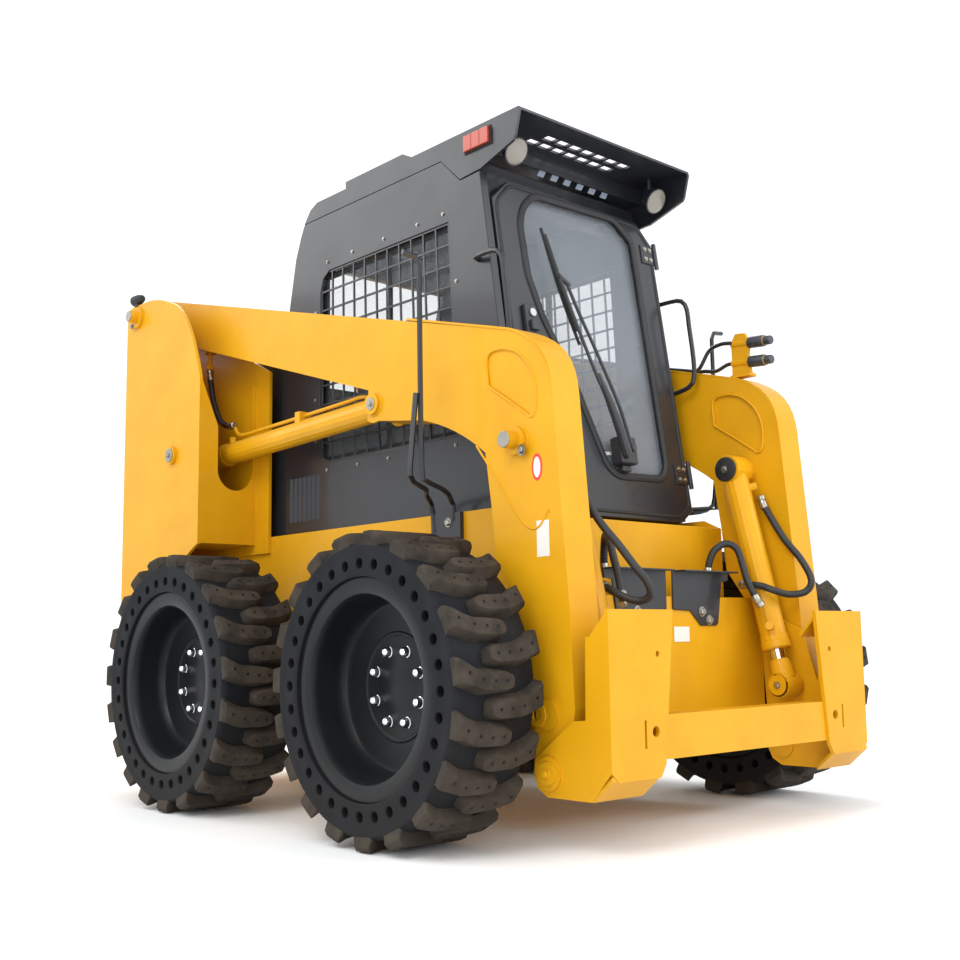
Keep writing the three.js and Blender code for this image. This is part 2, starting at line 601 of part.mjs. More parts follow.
function cabRoof() {
  const eaves = CAB_EAVES_Z + GAP;
  const cheek = [[-478, eaves], [-440, 2118], [-397, CAB_ROOF_Z], [662, CAB_ROOF_Z], [668, 2124], [648, 2050],
    [640, 2037], [leanX(1993) + 1, 1991], [leanX(1993) + 1, 1984 + GAP + 8], [395, 1984 + GAP + 2], [303, eaves]];
  const skirts = [RIGHT, LEFT].map((side) => sidePlate(side, cheek, CAB_HALF_WIDTH - 9, CAB_HALF_WIDTH + 1));
  const slab = plateAlongY([[-478, eaves], [-440, 2118], [-397, CAB_ROOF_Z], [460, CAB_ROOF_Z], [460, eaves]],
    -CAB_HALF_WIDTH, CAB_HALF_WIDTH);
  const visor = block(455, 666, -CAB_HALF_WIDTH, CAB_HALF_WIDTH, CAB_ROOF_Z - 8, CAB_ROOF_Z);
  const vent = plateAlongY([[-262, CAB_ROOF_Z - 2], [-262, CAB_ROOF_Z + 46], [66, CAB_ROOF_Z + 46],
    [128, CAB_ROOF_Z + 14], [130, CAB_ROOF_Z - 2]], -378, 378);
  const slots = [];
  for (let row = 0; row < 2; row += 1) {
    for (let i = 0; i < 7; i += 1) {
      const y = -170 + i * 58 - row * 27;
      const x = 548 - row * 52;
      slots.push(block(x, x + 32, y - 24, y + 24, CAB_ROOF_Z - 20, CAB_ROOF_Z + 20));
    }
  }
  return cut(join(slab, visor, vent, ...skirts), ...slots);
}

function cabFloor() {
  const outline = [[-655, 940], [-120, 940], [-60, 560], [560, 560], [598, 880], [598, 890], [585, 890], [548, 572],
    [-50, 572], [-112, 952], [-655, 952]];
  return plateAlongY(outline, -INSIDE_Y, INSIDE_Y);
}

// The front of the cab leans back, so its pieces are laid out upright in a tilted group.
const leaning = new THREE.Group();
leaning.position.set(DOOR_FOOT.x, 0, DOOR_FOOT.z);
leaning.rotation.y = -DOOR_LEAN;
machine.add(leaning);


function cabFrontFrame() {
  const outer = block(-80, -46, -INSIDE_Y, INSIDE_Y, 16, 1160);
  return cut(outer, block(-90, -30, -INSIDE_Y + 50, INSIDE_Y - 50, 70, 1040));
}

// The pane's outline, seen from the front: cut corners at the top, a lock recess and a cut corner low on its right.
function glassOutline(grow) {
  return [[-232 + grow, 1005 - grow], [-175 + grow, 1058 - grow], [205 - grow, 1066 - grow], [288 - grow, 1000 - grow],
    [292 - grow, 195 + grow], [262 - grow, 150 + grow], [40 + grow, 144 + grow], [-4 + grow, 172 + grow],
    [-118 + grow, 470 + grow], [-205 + grow, 630 + grow], [-250 + grow, 770 + grow], [-256 + grow, 945 - grow]];
}

function doorFrame() {
  const outline = [[DOOR_RIGHT_Y, 4], [334, 4], [DOOR_LEFT_Y, 46], [DOOR_LEFT_Y, 1010], [330, DOOR_HEIGHT + 12],
    [-290, DOOR_HEIGHT + 12], [DOOR_RIGHT_Y, 1010]];
  const panel = plateAlongX(outline, -DOOR_THICK, 0);
  const hole = plateAlongX(glassOutline(0), -DOOR_THICK - 5, 5);
  return cut(panel, hole);
}

// A bent handle bolted to the outer face of each cab side, just behind the door's corner.
function grabHandle(side) {
  const wall = CAB_HALF_WIDTH + 3 * GAP;
  const route = [[478, wall, 1703], [479, 422, 1703], [500, 433, 1705], [580, 436, 1702], [612, 436, 1672],
    [622, 436, 1600], [634, 436, 1500], [636, 436, 1430], [620, 436, 1394], [560, 435, 1378], [532, 431, 1378],
    [520, 421, 1378], [519, wall, 1378]];
  return tube(route.map(([x, y, z]) => [x, side * y, z]), 9, 6, 26);
}

function doorGlass() {
  return plateAlongX(glassOutline(1), -22, -17);
}

// ---------------------------------------------------------------- operator's place
function seatBase() {
  return block(-420, 60, -230, 230, 953, 1100);
}

function softBlock(x0, x1, y0, y1, z0, z1, lean = 0) {
  const inset = 25;
  const outline = [[x0 + inset, z0], [x1 - inset, z0], [x1, z0 + inset], [x1, z1 - inset], [x1 - inset, z1],
    [x0 + inset, z1], [x0, z1 - inset], [x0, z0 + inset]].map(([x, z]) => [x - lean * (z - z0), z]);
  return plateAlongY(outline, y0, y1);
}

function controlConsole() {
  const pieces = [block(-300, 150, -340, -245, 1000, 1180), block(-300, 150, 245, 340, 1000, 1180),
    block(-440, -422, -340, 340, 953, 1180),
    block(-440, -290, -340, -245, 953, 1180),
    block(-440, -290, 245, 340, 953, 1180)];
  for (const side of [RIGHT, LEFT]) {
    pieces.push(bar([90, side * 292, 1175], [118, side * 288, 1330], 12, 10));
    pieces.push(bar([114, side * 288, 1310], [128, side * 286, 1410], 24, 12));
  }
  return join(...pieces);
}

// ---------------------------------------------------------------- brackets beside the arms
function sideRod(side) {
  const tall = [[395, 452, 900], [398, 458, 960], [430, 520, 985], [500, 640, 995], [528, 683, 1030],
    [528, 687, 1580], [528, 692, 1630], [528, 712, 1643], [528, 748, 1645]];
  const short = [[305, 452, 870], [302, 458, 950], [350, 520, 978], [450, 605, 978], [490, 692, 1000],
    [505, 702, 1070], [525, 700, 1240]];
  const rods = [tall, short].map((route) => tube(route.map(([x, y, z]) => [x, side * y, z]), 8, 6, 22));
  const plate = sideBlock(side, 292, 428, FRAME_SIDE_Y, FRAME_SIDE_Y + 14, 787, 924);
  return join(plate, ...rods);
}

// ---------------------------------------------------------------- hoses
const HOSE_RADIUS = 11;
// The upper hose hangs clear of the arm on the right and close beside it on the left.
const TILT_HOSE = {
  upper_right: [[884, 434, 985], [897, 434, 955], [920, 428, 915], [950, 405, 850], [985, 375, 790],
    [1015, 350, 735], [1038, 325, 690], [1038, 312, 655], [1010, 315, 640], [975, 328, 646], [930, 342, 668],
    [885, 326, 684], [862, 318, 690]],
  upper_left: [[884, 434, 985], [894, 436, 955], [916, 440, 915], [956, 447, 845], [1006, 462, 775],
    [1034, 468, 712], [1018, 458, 676], [985, 418, 668], [968, 362, 680], [935, 346, 694], [895, 338, 700],
    [862, 336, 702]],
  lower: [[945, 322, 632], [936, 312, 656], [914, 300, 712], [898, 300, 765], [882, 296, 812], [853, 280, 829],
    [826, 256, 808], [812, 244, 765], [808, 240, 715]],
};

function tiltHose(side, route) {
  return tube(TILT_HOSE[route].map(([x, y, z]) => [x, side * y, z]), HOSE_RADIUS, 8, 24);
}

function liftHose(side) {
  const route = [[-960, 521, 1590], [-948, 521, 1530], [-925, 521, 1460], [-890, 521, 1400], [-850, 521, 1365],
    [-806, 521, 1352], [-770, 521, 1349]];
  return tube(route.map(([x, y, z]) => [x, side * y, z]), HOSE_RADIUS, 8, 14);
}

// ---------------------------------------------------------------- the assembly
add('main_frame', mainFrame(), YELLOW);
add('rear_bumper', rearBumper(), YELLOW);
add('engine_block', engineBlock(), CAST_GREY);
add('engine_cover', engineCover(), BLACK_PAINT);
add('rear_door', rearDoor(), YELLOW);
add('cab_roof', cabRoof(), BLACK_PAINT);
add('cab_rear_wall', cabRear(), BLACK_PAINT);
add('cab_rear_glass', rearGlass(), GLASS);
add('cab_floor', cabFloor(), BLACK_PAINT);
add('cab_front_frame', cabFrontFrame(), BLACK_PAINT, leaning);
add('cab_door_frame', doorFrame(), BLACK_PAINT, leaning);
add('cab_door_glass', doorGlass(), GLASS, leaning);
add('seat_base', seatBase(), PLASTIC);
add('seat_cushion', softBlock(-420, 90, -225, 225, 1101, 1215), SEAT_BLACK);
add('seat_back', softBlock(-425, -300, -215, 215, 1216, 1740, 0.12), SEAT_BLACK);
add('control_console', controlConsole(), PLASTIC);
add('arm_cross_member', armCrossMember(), YELLOW);
add('coupler_bracket', couplerBracket(), YELLOW);
add('hitch_frame', hitchFrame(), YELLOW);
for (const side of [RIGHT, LEFT]) {
  add(`upright_${sideName(side)}`, upright(side), YELLOW);
  add(`arm_${sideName(side)}`, arm(side), YELLOW);
  add(`cab_side_${sideName(side)}`, cabSide(side), BLACK_PAINT);
  add(`side_grille_${sideName(side)}`, sideGrille(side), BLACK_PAINT);
  add(`side_glass_${sideName(side)}`, sideGlass(side), GLASS);
  add(`side_rod_${sideName(side)}`, sideRod(side), BLACK_PAINT);
  add(`grab_handle_${sideName(side)}`, grabHandle(side), BLACK_PAINT);
  add(`hose_bracket_${sideName(side)}`, hoseBracket(side), BLACK_PAINT);
  liftCylinder(side);
  tiltCylinder(side);
  add(`tilt_hose_upper_${sideName(side)}`, tiltHose(side, `upper_${sideName(side)}`), HOSE_BLACK);
  add(`tilt_hose_lower_${sideName(side)}`, tiltHose(side, 'lower'), HOSE_BLACK);
  add(`lift_hose_${sideName(side)}`, liftHose(side), HOSE_BLACK);
  for (const end of [1, -1]) wheel(side, end);
}

export default machine;
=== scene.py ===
"""Skid steer loader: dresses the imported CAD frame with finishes, tyres, grilles, hoses and small fittings."""

import json
import logging
import math
from dataclasses import dataclass, field
from enum import Enum
from typing import Iterable, Sequence

import bmesh
import bpy
import numpy as np
from mathutils import Matrix, Vector

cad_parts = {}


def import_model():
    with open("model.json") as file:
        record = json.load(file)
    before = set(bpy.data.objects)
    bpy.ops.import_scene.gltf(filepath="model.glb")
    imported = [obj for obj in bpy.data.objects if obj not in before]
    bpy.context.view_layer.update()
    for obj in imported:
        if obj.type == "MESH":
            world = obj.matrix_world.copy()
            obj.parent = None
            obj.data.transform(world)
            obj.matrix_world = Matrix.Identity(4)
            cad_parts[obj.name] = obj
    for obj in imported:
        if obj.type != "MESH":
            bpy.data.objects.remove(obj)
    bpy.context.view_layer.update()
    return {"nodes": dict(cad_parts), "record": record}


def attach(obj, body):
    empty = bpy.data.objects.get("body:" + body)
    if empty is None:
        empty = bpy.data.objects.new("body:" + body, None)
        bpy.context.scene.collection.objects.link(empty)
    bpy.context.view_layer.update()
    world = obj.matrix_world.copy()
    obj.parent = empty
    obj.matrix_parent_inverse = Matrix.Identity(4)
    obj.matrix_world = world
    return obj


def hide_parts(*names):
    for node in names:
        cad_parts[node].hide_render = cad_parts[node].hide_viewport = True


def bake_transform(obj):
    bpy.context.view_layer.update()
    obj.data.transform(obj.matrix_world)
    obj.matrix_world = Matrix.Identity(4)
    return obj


LOG = logging.getLogger("loader")
MM = 0.001
FRAME_SHIFT = 134.5
SIDES = (("right", -1), ("left", 1))
WHEELS = (("front_right", 540, -1), ("front_left", 540, 1), ("rear_right", -540, -1), ("rear_left", -540, 1))
Point = Sequence[float]

# Pin centres as X and Z, and distances from the machine's middle, all in drawing millimetres.
ARM_PIVOT = (-1228, 1829)
LIFT_FOOT = (-927, 1238)
LIFT_PIN = (163, 1278)
TILT_PIN = (805, 1077)
ROD_EYE = (966, 390)
HITCH_PIVOT = (915, 200)
ARM_FACE = 574.0
LIFT_LANE = 521
TILT_LANE = 403.0
AXLE_Z = 419.0
TYRE_MIDDLE = 777.5


class Axis(Enum):
    """The machine axis that a turned or extruded shape is built along."""

    X = 0
    Y = 1
    Z = 2


def place(points: np.ndarray | Sequence[Point]) -> np.ndarray:
    """Turns drawing millimetres, with X from the middle of the wheelbase, to metres in the CAD frame.

    Args:
        points: An array whose last axis is X, Y, Z in millimetres.

    Returns:
        The same points in metres, moved by the frame shift.
    """
    array = np.array(points, dtype=float)
    array[..., 0] += FRAME_SHIFT
    return array * MM


# ---------------------------------------------------------------- surfaces
@dataclass
class Surface:
    """A mesh as arrays: points in drawing millimetres and faces as lists of point numbers."""

    points: np.ndarray
    faces: list[list[int]]

    def __add__(self, other: "Surface") -> "Surface":
        """Both surfaces as one."""
        offset = len(self.points)
        moved = [[i + offset for i in face] for face in other.faces]
        return Surface(np.vstack([self.points, other.points]), self.faces + moved)


def together(parts: Iterable[Surface]) -> Surface:
    """Joins many surfaces into one.

    Args:
        parts: The surfaces to join.

    Returns:
        One surface with all their points and faces.
    """
    points, faces, offset = [], [], 0
    for part in parts:
        points.append(part.points)
        faces.extend([[i + offset for i in face] for face in part.faces])
        offset += len(part.points)
    return Surface(np.vstack(points), faces)


def grid_faces(rows: int, columns: int, wrap_rows: bool, wrap_columns: bool) -> list[list[int]]:
    """Numbers the quads of a rows by columns grid of points.

    Args:
        rows: Points along the first parameter.
        columns: Points along the second parameter.
        wrap_rows: Whether the last row joins the first.
        wrap_columns: Whether the last column joins the first.

    Returns:
        Four point numbers for each quad.
    """
    i = np.arange(rows if wrap_rows else rows - 1)
    j = np.arange(columns if wrap_columns else columns - 1)
    i, j = np.meshgrid(i, j, indexing="ij")
    i2 = (i + 1) % rows
    j2 = (j + 1) % columns
    quads = np.stack([i * columns + j, i2 * columns + j, i2 * columns + j2, i * columns + j2], axis=-1)
    return quads.reshape(-1, 4).tolist()


def loft(rings: np.ndarray) -> Surface:
    """Skins a stack of closed rings and caps both ends.

    Args:
        rings: The points of every ring, as an array of rings by points by three.

    Returns:
        The closed surface.
    """
    count, sides = rings.shape[:2]
    last = (count - 1) * sides
    caps = [list(range(sides))[::-1], [last + k for k in range(sides)]]
    return Surface(rings.reshape(-1, 3), grid_faces(count, sides, False, True) + caps)


def revolve(profile: Sequence[Point], centre: Point, steps: int = 64, axis: Axis = Axis.Y) -> Surface:
    """Turns a closed (radius, along) profile about a machine axis.

    Each point is p = c + r (cos t, sin t) + a along the axis, for t in equal steps.

    Args:
        profile: Corner points of the closed profile, as radius and distance along the axis.
        centre: A point on the axis, in millimetres.
        steps: Number of steps round the axis.
        axis: The axis to turn about.

    Returns:
        The turned surface.
    """
    profile = np.array(profile, dtype=float)
    angle = np.linspace(0, 2 * np.pi, steps, endpoint=False)[:, None]
    radius, along = profile[None, :, 0], profile[None, :, 1]
    points = np.zeros((steps, len(profile), 3))
    first, second = [k for k in range(3) if k != axis.value]
    points[..., first] = radius * np.cos(angle)
    points[..., second] = radius * np.sin(angle)
    points[..., axis.value] = along
    faces = grid_faces(steps, len(profile), True, True)
    return Surface(points.reshape(-1, 3) + np.array(centre, float), faces)


def prism(outline: Sequence[Point], low: float, high: float, axis: Axis) -> Surface:
    """Pushes a flat outline straight along a machine axis, from low to high.

    Args:
        outline: The outline's points on the other two axes, in X, Y, Z order.
        low: Where the prism starts along the axis.
        high: Where it ends.
        axis: The direction it is pushed in.

    Returns:
        The closed prism.
    """
    outline = np.array(outline, dtype=float)
    points = np.zeros((2, len(outline), 3))
    first, second = [k for k in range(3) if k != axis.value]
    points[..., first] = outline[:, 0]
    points[..., second] = outline[:, 1]
    points[0, :, axis.value] = low
    points[1, :, axis.value] = high
    return loft(points)


def slab(low: Point, high: Point) -> Surface:
    """A rectangular block between two corners."""
    (x0, y0, z0), (x1, y1, z1) = low, high
    return prism([(x0, y0), (x1, y0), (x1, y1), (x0, y1)], z0, z1, Axis.Z)


def smooth_path(points: Sequence[Point], per_span: int) -> np.ndarray:
    """Runs a uniform Catmull-Rom curve through the points, with mirrored end tangents.

    Args:
        points: The points that the curve passes through.
        per_span: Number of steps between two neighbouring points.

    Returns:
        An array of points along the curve.
    """
    knots = np.array(points, dtype=float)
    padded = np.vstack([2 * knots[0] - knots[1], knots, 2 * knots[-1] - knots[-2]])
    t = np.linspace(0, 1, per_span, endpoint=False)[None, :, None]
    p0, p1, p2, p3 = (padded[k:len(padded) - 3 + k, None, :] for k in range(4))
    spans = p1 + 0.5 * t * (p2 - p0 + t * (2 * p0 - 5 * p1 + 4 * p2 - p3 + t * (3 * (p1 - p2) + p3 - p0)))
    return np.vstack([spans.reshape(-1, knots.shape[1]), knots[-1:]])


def sweep(path: np.ndarray, radius: float | np.ndarray, sides: int = 12) -> Surface:
    """Carries a circle along a path without twist.

    Each ring's frame is the last one, turned onto the new tangent.

    Args:
        path: Points of the centreline.
        radius: One radius, or one for each point.
        sides: Number of sides of the tube.

    Returns:
        The closed tube with flat ends.
    """
    path = np.array(path, dtype=float)
    tangents = np.gradient(path, axis=0)
    tangents /= np.linalg.norm(tangents, axis=1, keepdims=True)
    seed = np.eye(3)[np.argmin(np.abs(tangents[0]))]
    normal = np.cross(tangents[0], seed)
    normals = []
    for tangent in tangents:
        normal = normal - tangent * normal.dot(tangent)
        normal = normal / np.linalg.norm(normal)
        normals.append(normal)
    normals = np.array(normals)
    sideways = np.cross(tangents, normals)
    angle = np.linspace(0, 2 * np.pi, sides, endpoint=False)[None, :, None]
    size = np.broadcast_to(np.atleast_1d(radius), (len(path),))[:, None, None]
    circle = np.cos(angle) * normals[:, None, :] + np.sin(angle) * sideways[:, None, :]
    return loft(path[:, None, :] + size * circle)


def rod_between(start: Point, end: Point, radius: float, sides: int = 16) -> Surface:
    """A straight round rod from one point to another."""
    return sweep(np.array([start, end], dtype=float), radius, sides)


def cross_pin(spot: Point, near: float, far: float, radius: float, sides: int = 24) -> Surface:
    """A round pin along Y, given its X and Z and the Y of its two ends."""
    x, z = spot
    return rod_between((x, near, z), (x, far, z), radius, sides)


def span(side: int, near: float, far: float) -> list[float]:
    """The low and high Y between two distances from the machine's middle, on one side."""
    return sorted((side * near, side * far))


def bent_rod(points: Sequence[Point], radius: float, sides: int = 10) -> Surface:
    """A round rod that follows a smooth curve through the points."""
    return sweep(smooth_path(points, 6), radius, sides)


def bolt_head(centre: Point, outward: Point, across: float = 20.0, height: float = 9.0) -> Surface:
    """A washer and a hexagon head whose top is chamfered, standing on a face.

    Args:
        centre: The middle of the washer's seat.
        outward: The face's outward direction.
        across: The width across the head's corners.
        height: The head's height above the washer.

    Returns:
        The washer and head as one surface.
    """
    centre = np.array(centre, dtype=float)
    outward = np.array(outward, dtype=float) / np.linalg.norm(outward)
    washer = sweep(np.array([centre - outward, centre + 2 * outward]), 0.72 * across, 16)
    stations = np.array([0.0, 1.0, 0.8 * height, height])[:, None] * outward + centre + 1.5 * outward
    head = sweep(stations, np.array([0.5, 0.5, 0.5, 0.42]) * across, 6)
    return washer + head


def side_bolt(spot: Point, y: float, outward: int, across: float, height: float) -> Surface:
    """A bolt head on an upright face, given its X and Z, the face's Y and the sign it looks to."""
    x, z = spot
    return bolt_head((x, y, z), (0, outward, 0), across, height)


# ---------------------------------------------------------------- finishes
def linear(hex_colour: str) -> tuple[float, float, float, float]:
    """Turns an sRGB hex colour to the linear values that the shader wants.

    Args:
        hex_colour: Six hex digits after a hash.

    Returns:
        Red, green, blue and an alpha of one.
    """
    channels = [int(hex_colour[k:k + 2], 16) / 255 for k in (1, 3, 5)]
    curve = [c / 12.92 if c <= 0.04045 else ((c + 0.055) / 1.055) ** 2.4 for c in channels]
    return (*curve, 1.0)


def add_node(tree: bpy.types.NodeTree, kind: str, values: dict | None = None, **settings) -> bpy.types.Node:
    """Adds a shader node, sets its properties and fills or links its inputs.

    Args:
        tree: The material's node tree.
        kind: The node's type name.
        values: Input name or number to a value, or to the output socket that feeds it.
        **settings: Properties set on the node before its inputs.

    Returns:
        The new node.
    """
    node = tree.nodes.new(kind)
    for name, value in settings.items():
        setattr(node, name, value)
    for key, value in (values or {}).items():
        if isinstance(value, bpy.types.NodeSocket):
            tree.links.new(value, node.inputs[key])
        else:
            node.inputs[key].default_value = value
    return node


@dataclass(frozen=True)
class Finish:
    """A surface finish: colours, typical optical values and the size of its grain in millimetres."""

    name: str
    slot: str
    colour: str
    shade: str
    roughness: float
    metallic: float = 0.0
    coat: float = 0.0
    grain_mm: float = 2.0
    grain_depth: float = 0.05
    patch_mm: float = 180.0
    alpha: float = 1.0
    ior: float = 1.5
    dust: str | None = None
    dust_top: float = 0.45

    def material(self) -> bpy.types.Material:
        """Builds the node material once and returns it each time it is asked for.

        Returns:
            The Blender material of this finish.
        """
        known = bpy.data.materials.get(self.name)
        if known is not None:
            return known
        material = bpy.data.materials.new(self.name)
        material.use_nodes = True
        tree = material.node_tree
        shader = tree.nodes["Principled BSDF"]
        where = add_node(tree, "ShaderNodeTexCoord")
        patches = add_node(tree, "ShaderNodeTexNoise", {
            "Vector": where.outputs["Object"], "Scale": 1000 / self.patch_mm, "Detail": 4.0,
            "Roughness": 0.55,
        })
        spread = add_node(tree, "ShaderNodeMapRange", {
            "Value": patches.outputs["Fac"], "From Min": 0.35, "From Max": 0.65,
        })
        tone = add_node(tree, "ShaderNodeMix", {
            "Factor": spread.outputs["Result"], 6: linear(self.colour), 7: linear(self.shade),
        }, data_type="RGBA")
        colour = tone.outputs[2]
        if self.dust is not None:
            colour = self._dusted(tree, where, patches, colour)
        tree.links.new(colour, shader.inputs["Base Color"])
        grain = add_node(tree, "ShaderNodeTexNoise", {
            "Vector": where.outputs["Object"], "Scale": 1000 / self.grain_mm, "Detail": 2.0,
        })
        rough = add_node(tree, "ShaderNodeMapRange", {
            "Value": patches.outputs["Fac"], "To Min": max(self.roughness - 0.06, 0.02),
            "To Max": min(self.roughness + 0.08, 1.0),
        })
        tree.links.new(rough.outputs["Result"], shader.inputs["Roughness"])
        if self.grain_depth > 0:
            bump = add_node(tree, "ShaderNodeBump", {
                "Height": grain.outputs["Fac"], "Strength": self.grain_depth, "Distance": 0.001,
            })
            tree.links.new(bump.outputs["Normal"], shader.inputs["Normal"])
        shader.inputs["Metallic"].default_value = self.metallic
        shader.inputs["Coat Weight"].default_value = self.coat
        shader.inputs["Coat Roughness"].default_value = 0.08
        shader.inputs["Alpha"].default_value = self.alpha
        if self.metallic < 0.5:
            shader.inputs["IOR"].default_value = self.ior
        return material

    def _dusted(self, tree: bpy.types.NodeTree, where: bpy.types.Node, patches: bpy.types.Node,
                colour: bpy.types.NodeSocket) -> bpy.types.NodeSocket:
        """Lays a thin film of road dust over the lowest parts, broken up by the patches."""
        parts = add_node(tree, "ShaderNodeSeparateXYZ", {"Vector": where.outputs["Object"]})
        height = add_node(tree, "ShaderNodeMapRange", {
            "Value": parts.outputs["Z"], "From Min": 0.0, "From Max": self.dust_top,
            "To Min": 0.55, "To Max": 0.0,
        })
        film = add_node(tree, "ShaderNodeMath", {
            0: height.outputs["Result"], 1: patches.outputs["Fac"],
        }, operation="MULTIPLY")
        mixed = add_node(tree, "ShaderNodeMix", {
            "Factor": film.outputs[0], 6: colour, 7: linear(self.dust),
        }, data_type="RGBA")
        return mixed.outputs[2]


@dataclass(frozen=True)
class SpiralHose(Finish):
    """Hydraulic hose in a moulded spiral guard: raised turns every few millimetres along its own length."""

    pitch_mm: float = 9.0

    def material(self) -> bpy.types.Material:
        """Adds the spiral's shallow turns, read along the tube's UV map, to the plain rubber."""
        known = bpy.data.materials.get(self.name)
        if known is not None:
            return known
        material = super().material()
        tree = material.node_tree
        shader = tree.nodes["Principled BSDF"]
        uv = add_node(tree, "ShaderNodeUVMap", uv_map="along")
        turns = add_node(tree, "ShaderNodeTexWave", {
            "Vector": uv.outputs["UV"], "Scale": 1.0,
        }, wave_profile="SIN")
        bump = add_node(tree, "ShaderNodeBump", {
            "Height": turns.outputs["Fac"], "Strength": 0.5, "Distance": 0.001,
        })
        tree.links.new(bump.outputs["Normal"], shader.inputs["Normal"])
        return material


# Glossy two-part enamel sprayed over steel: a fine orange peel and clear highlights.
YELLOW = Finish("yellow_enamel", "yellow_paint", "#d3990e", "#cb920b", 0.42, coat=0.12, grain_mm=3.0,
                grain_depth=0.05, ior=1.3, dust="#b08430", dust_top=0.3)
# Semi-gloss black enamel on folded sheet: a cool grey reflection with soft edges.
BLACK = Finish("black_enamel", "black_paint", "#222429", "#1d1f24", 0.34, coat=0.25, grain_mm=3.0,
               grain_depth=0.05, ior=1.45)
# Satin black stoving paint on pressed wheel steel.
RIM_BLACK = Finish("satin_rim_paint", "rim_paint", "#15171a", "#101214", 0.34, grain_mm=2.5, ior=1.3,
                   dust="#2c2a27")
# Solid tyre rubber, moulded: a matt blue-black sidewall.
SIDEWALL = Finish("moulded_tyre_rubber", "tyre", "#1b1c1f", "#15161a", 0.6, grain_mm=4.0, grain_depth=0.2,
                  patch_mm=90, ior=1.22, dust="#2f2c29")
# Scuffed tread rubber with yard dust rubbed into it: warmer and lighter than the sidewall.
TREAD = Finish("scuffed_tread_rubber", "tyre", "#413a33", "#2c2824", 0.74, grain_mm=3.0, grain_depth=0.35,
               patch_mm=60, ior=1.22, dust="#4f463e")
# Toughened flat glass of the door: a light grey laid at three tenths over what is behind it, as a painted
# reflection.
DOOR_PANE = Finish("toughened_door_glass", "glass", "#a3aab2", "#9da4ac", 0.04, grain_depth=0.0, alpha=0.3)
# Thin clear glass of the sliding and rear windows: a pale grey laid at one tenth over what is behind it, as a
# faint painted reflection.
CLEAR_PANE = Finish("clear_window_glass", "glass", "#a9b1b8", "#a3abb2", 0.04, grain_depth=0.0, alpha=0.1)
# Hard chrome on ground steel, a mirror with hardly any grain.
CHROME = Finish("hard_chrome", "chrome", "#dfe1e3", "#d5d7da", 0.1, metallic=1.0, grain_depth=0.0)
# Bright zinc plate on turned steel fittings and bolts.
ZINC = Finish("zinc_plate", "chrome", "#aba8a0", "#9a968c", 0.32, metallic=1.0, grain_mm=1.5,
              grain_depth=0.05)
# Nitrile hose in a spiral guard.
HOSE = SpiralHose("spiral_hose_rubber", "hose", "#222223", "#1a1a1b", 0.5, grain_depth=0.1)
# Grained black vinyl over foam.
VINYL = Finish("black_vinyl", "seat_cover", "#25262a", "#1f2023", 0.5, grain_mm=1.6, grain_depth=0.35)
# Injection-moulded ABS with a fine spark texture.
PLASTIC = Finish("moulded_abs", "plastic", "#303236", "#2a2c30", 0.5, grain_mm=1.2, grain_depth=0.2)
# Extruded rubber seal round a pane.
SEAL = Finish("rubber_seal", "black_paint", "#1c1d1f", "#17181a", 0.6, grain_depth=0.1)
# Sand-cast grey iron.
CAST = Finish("grey_cast_iron", "cast_grey", "#5d6064", "#54575b", 0.6, metallic=0.6, grain_mm=2.5,
              grain_depth=0.4)
# Moulded acrylic lens, orange-red and glossy.
MARKER_LENS = Finish("acrylic_marker_lens", "glass", "#a43a25", "#953320", 0.3, coat=0.2, grain_depth=0.0)
# Clear acrylic lens over a dull reflector, seen from below in shade.
LAMP_LENS = Finish("clear_lamp_lens", "glass", "#837e75", "#716c63", 0.12, coat=0.6, grain_depth=0.0)
# Grey-blue glass reflectors with a dull mirror behind them.
REFLECTOR = Finish("grey_reflector", "glass", "#6b7584", "#5f6978", 0.25, coat=0.3, grain_depth=0.0)
# Phosphated steel, dark grey and dull.
PHOSPHATE = Finish("phosphated_steel", "cast_grey", "#5b5e62", "#4c4f53", 0.45, metallic=0.8, grain_mm=1.5,
                   grain_depth=0.1)
# Printed vinyl label left blank.
LABEL = Finish("blank_vinyl_label", "plastic", "#dcd9d1", "#d5d2c9", 0.4, grain_depth=0.0)
RED_LABEL = Finish("red_vinyl_label", "plastic", "#d43a2c", "#cc3427", 0.4, grain_depth=0.0)


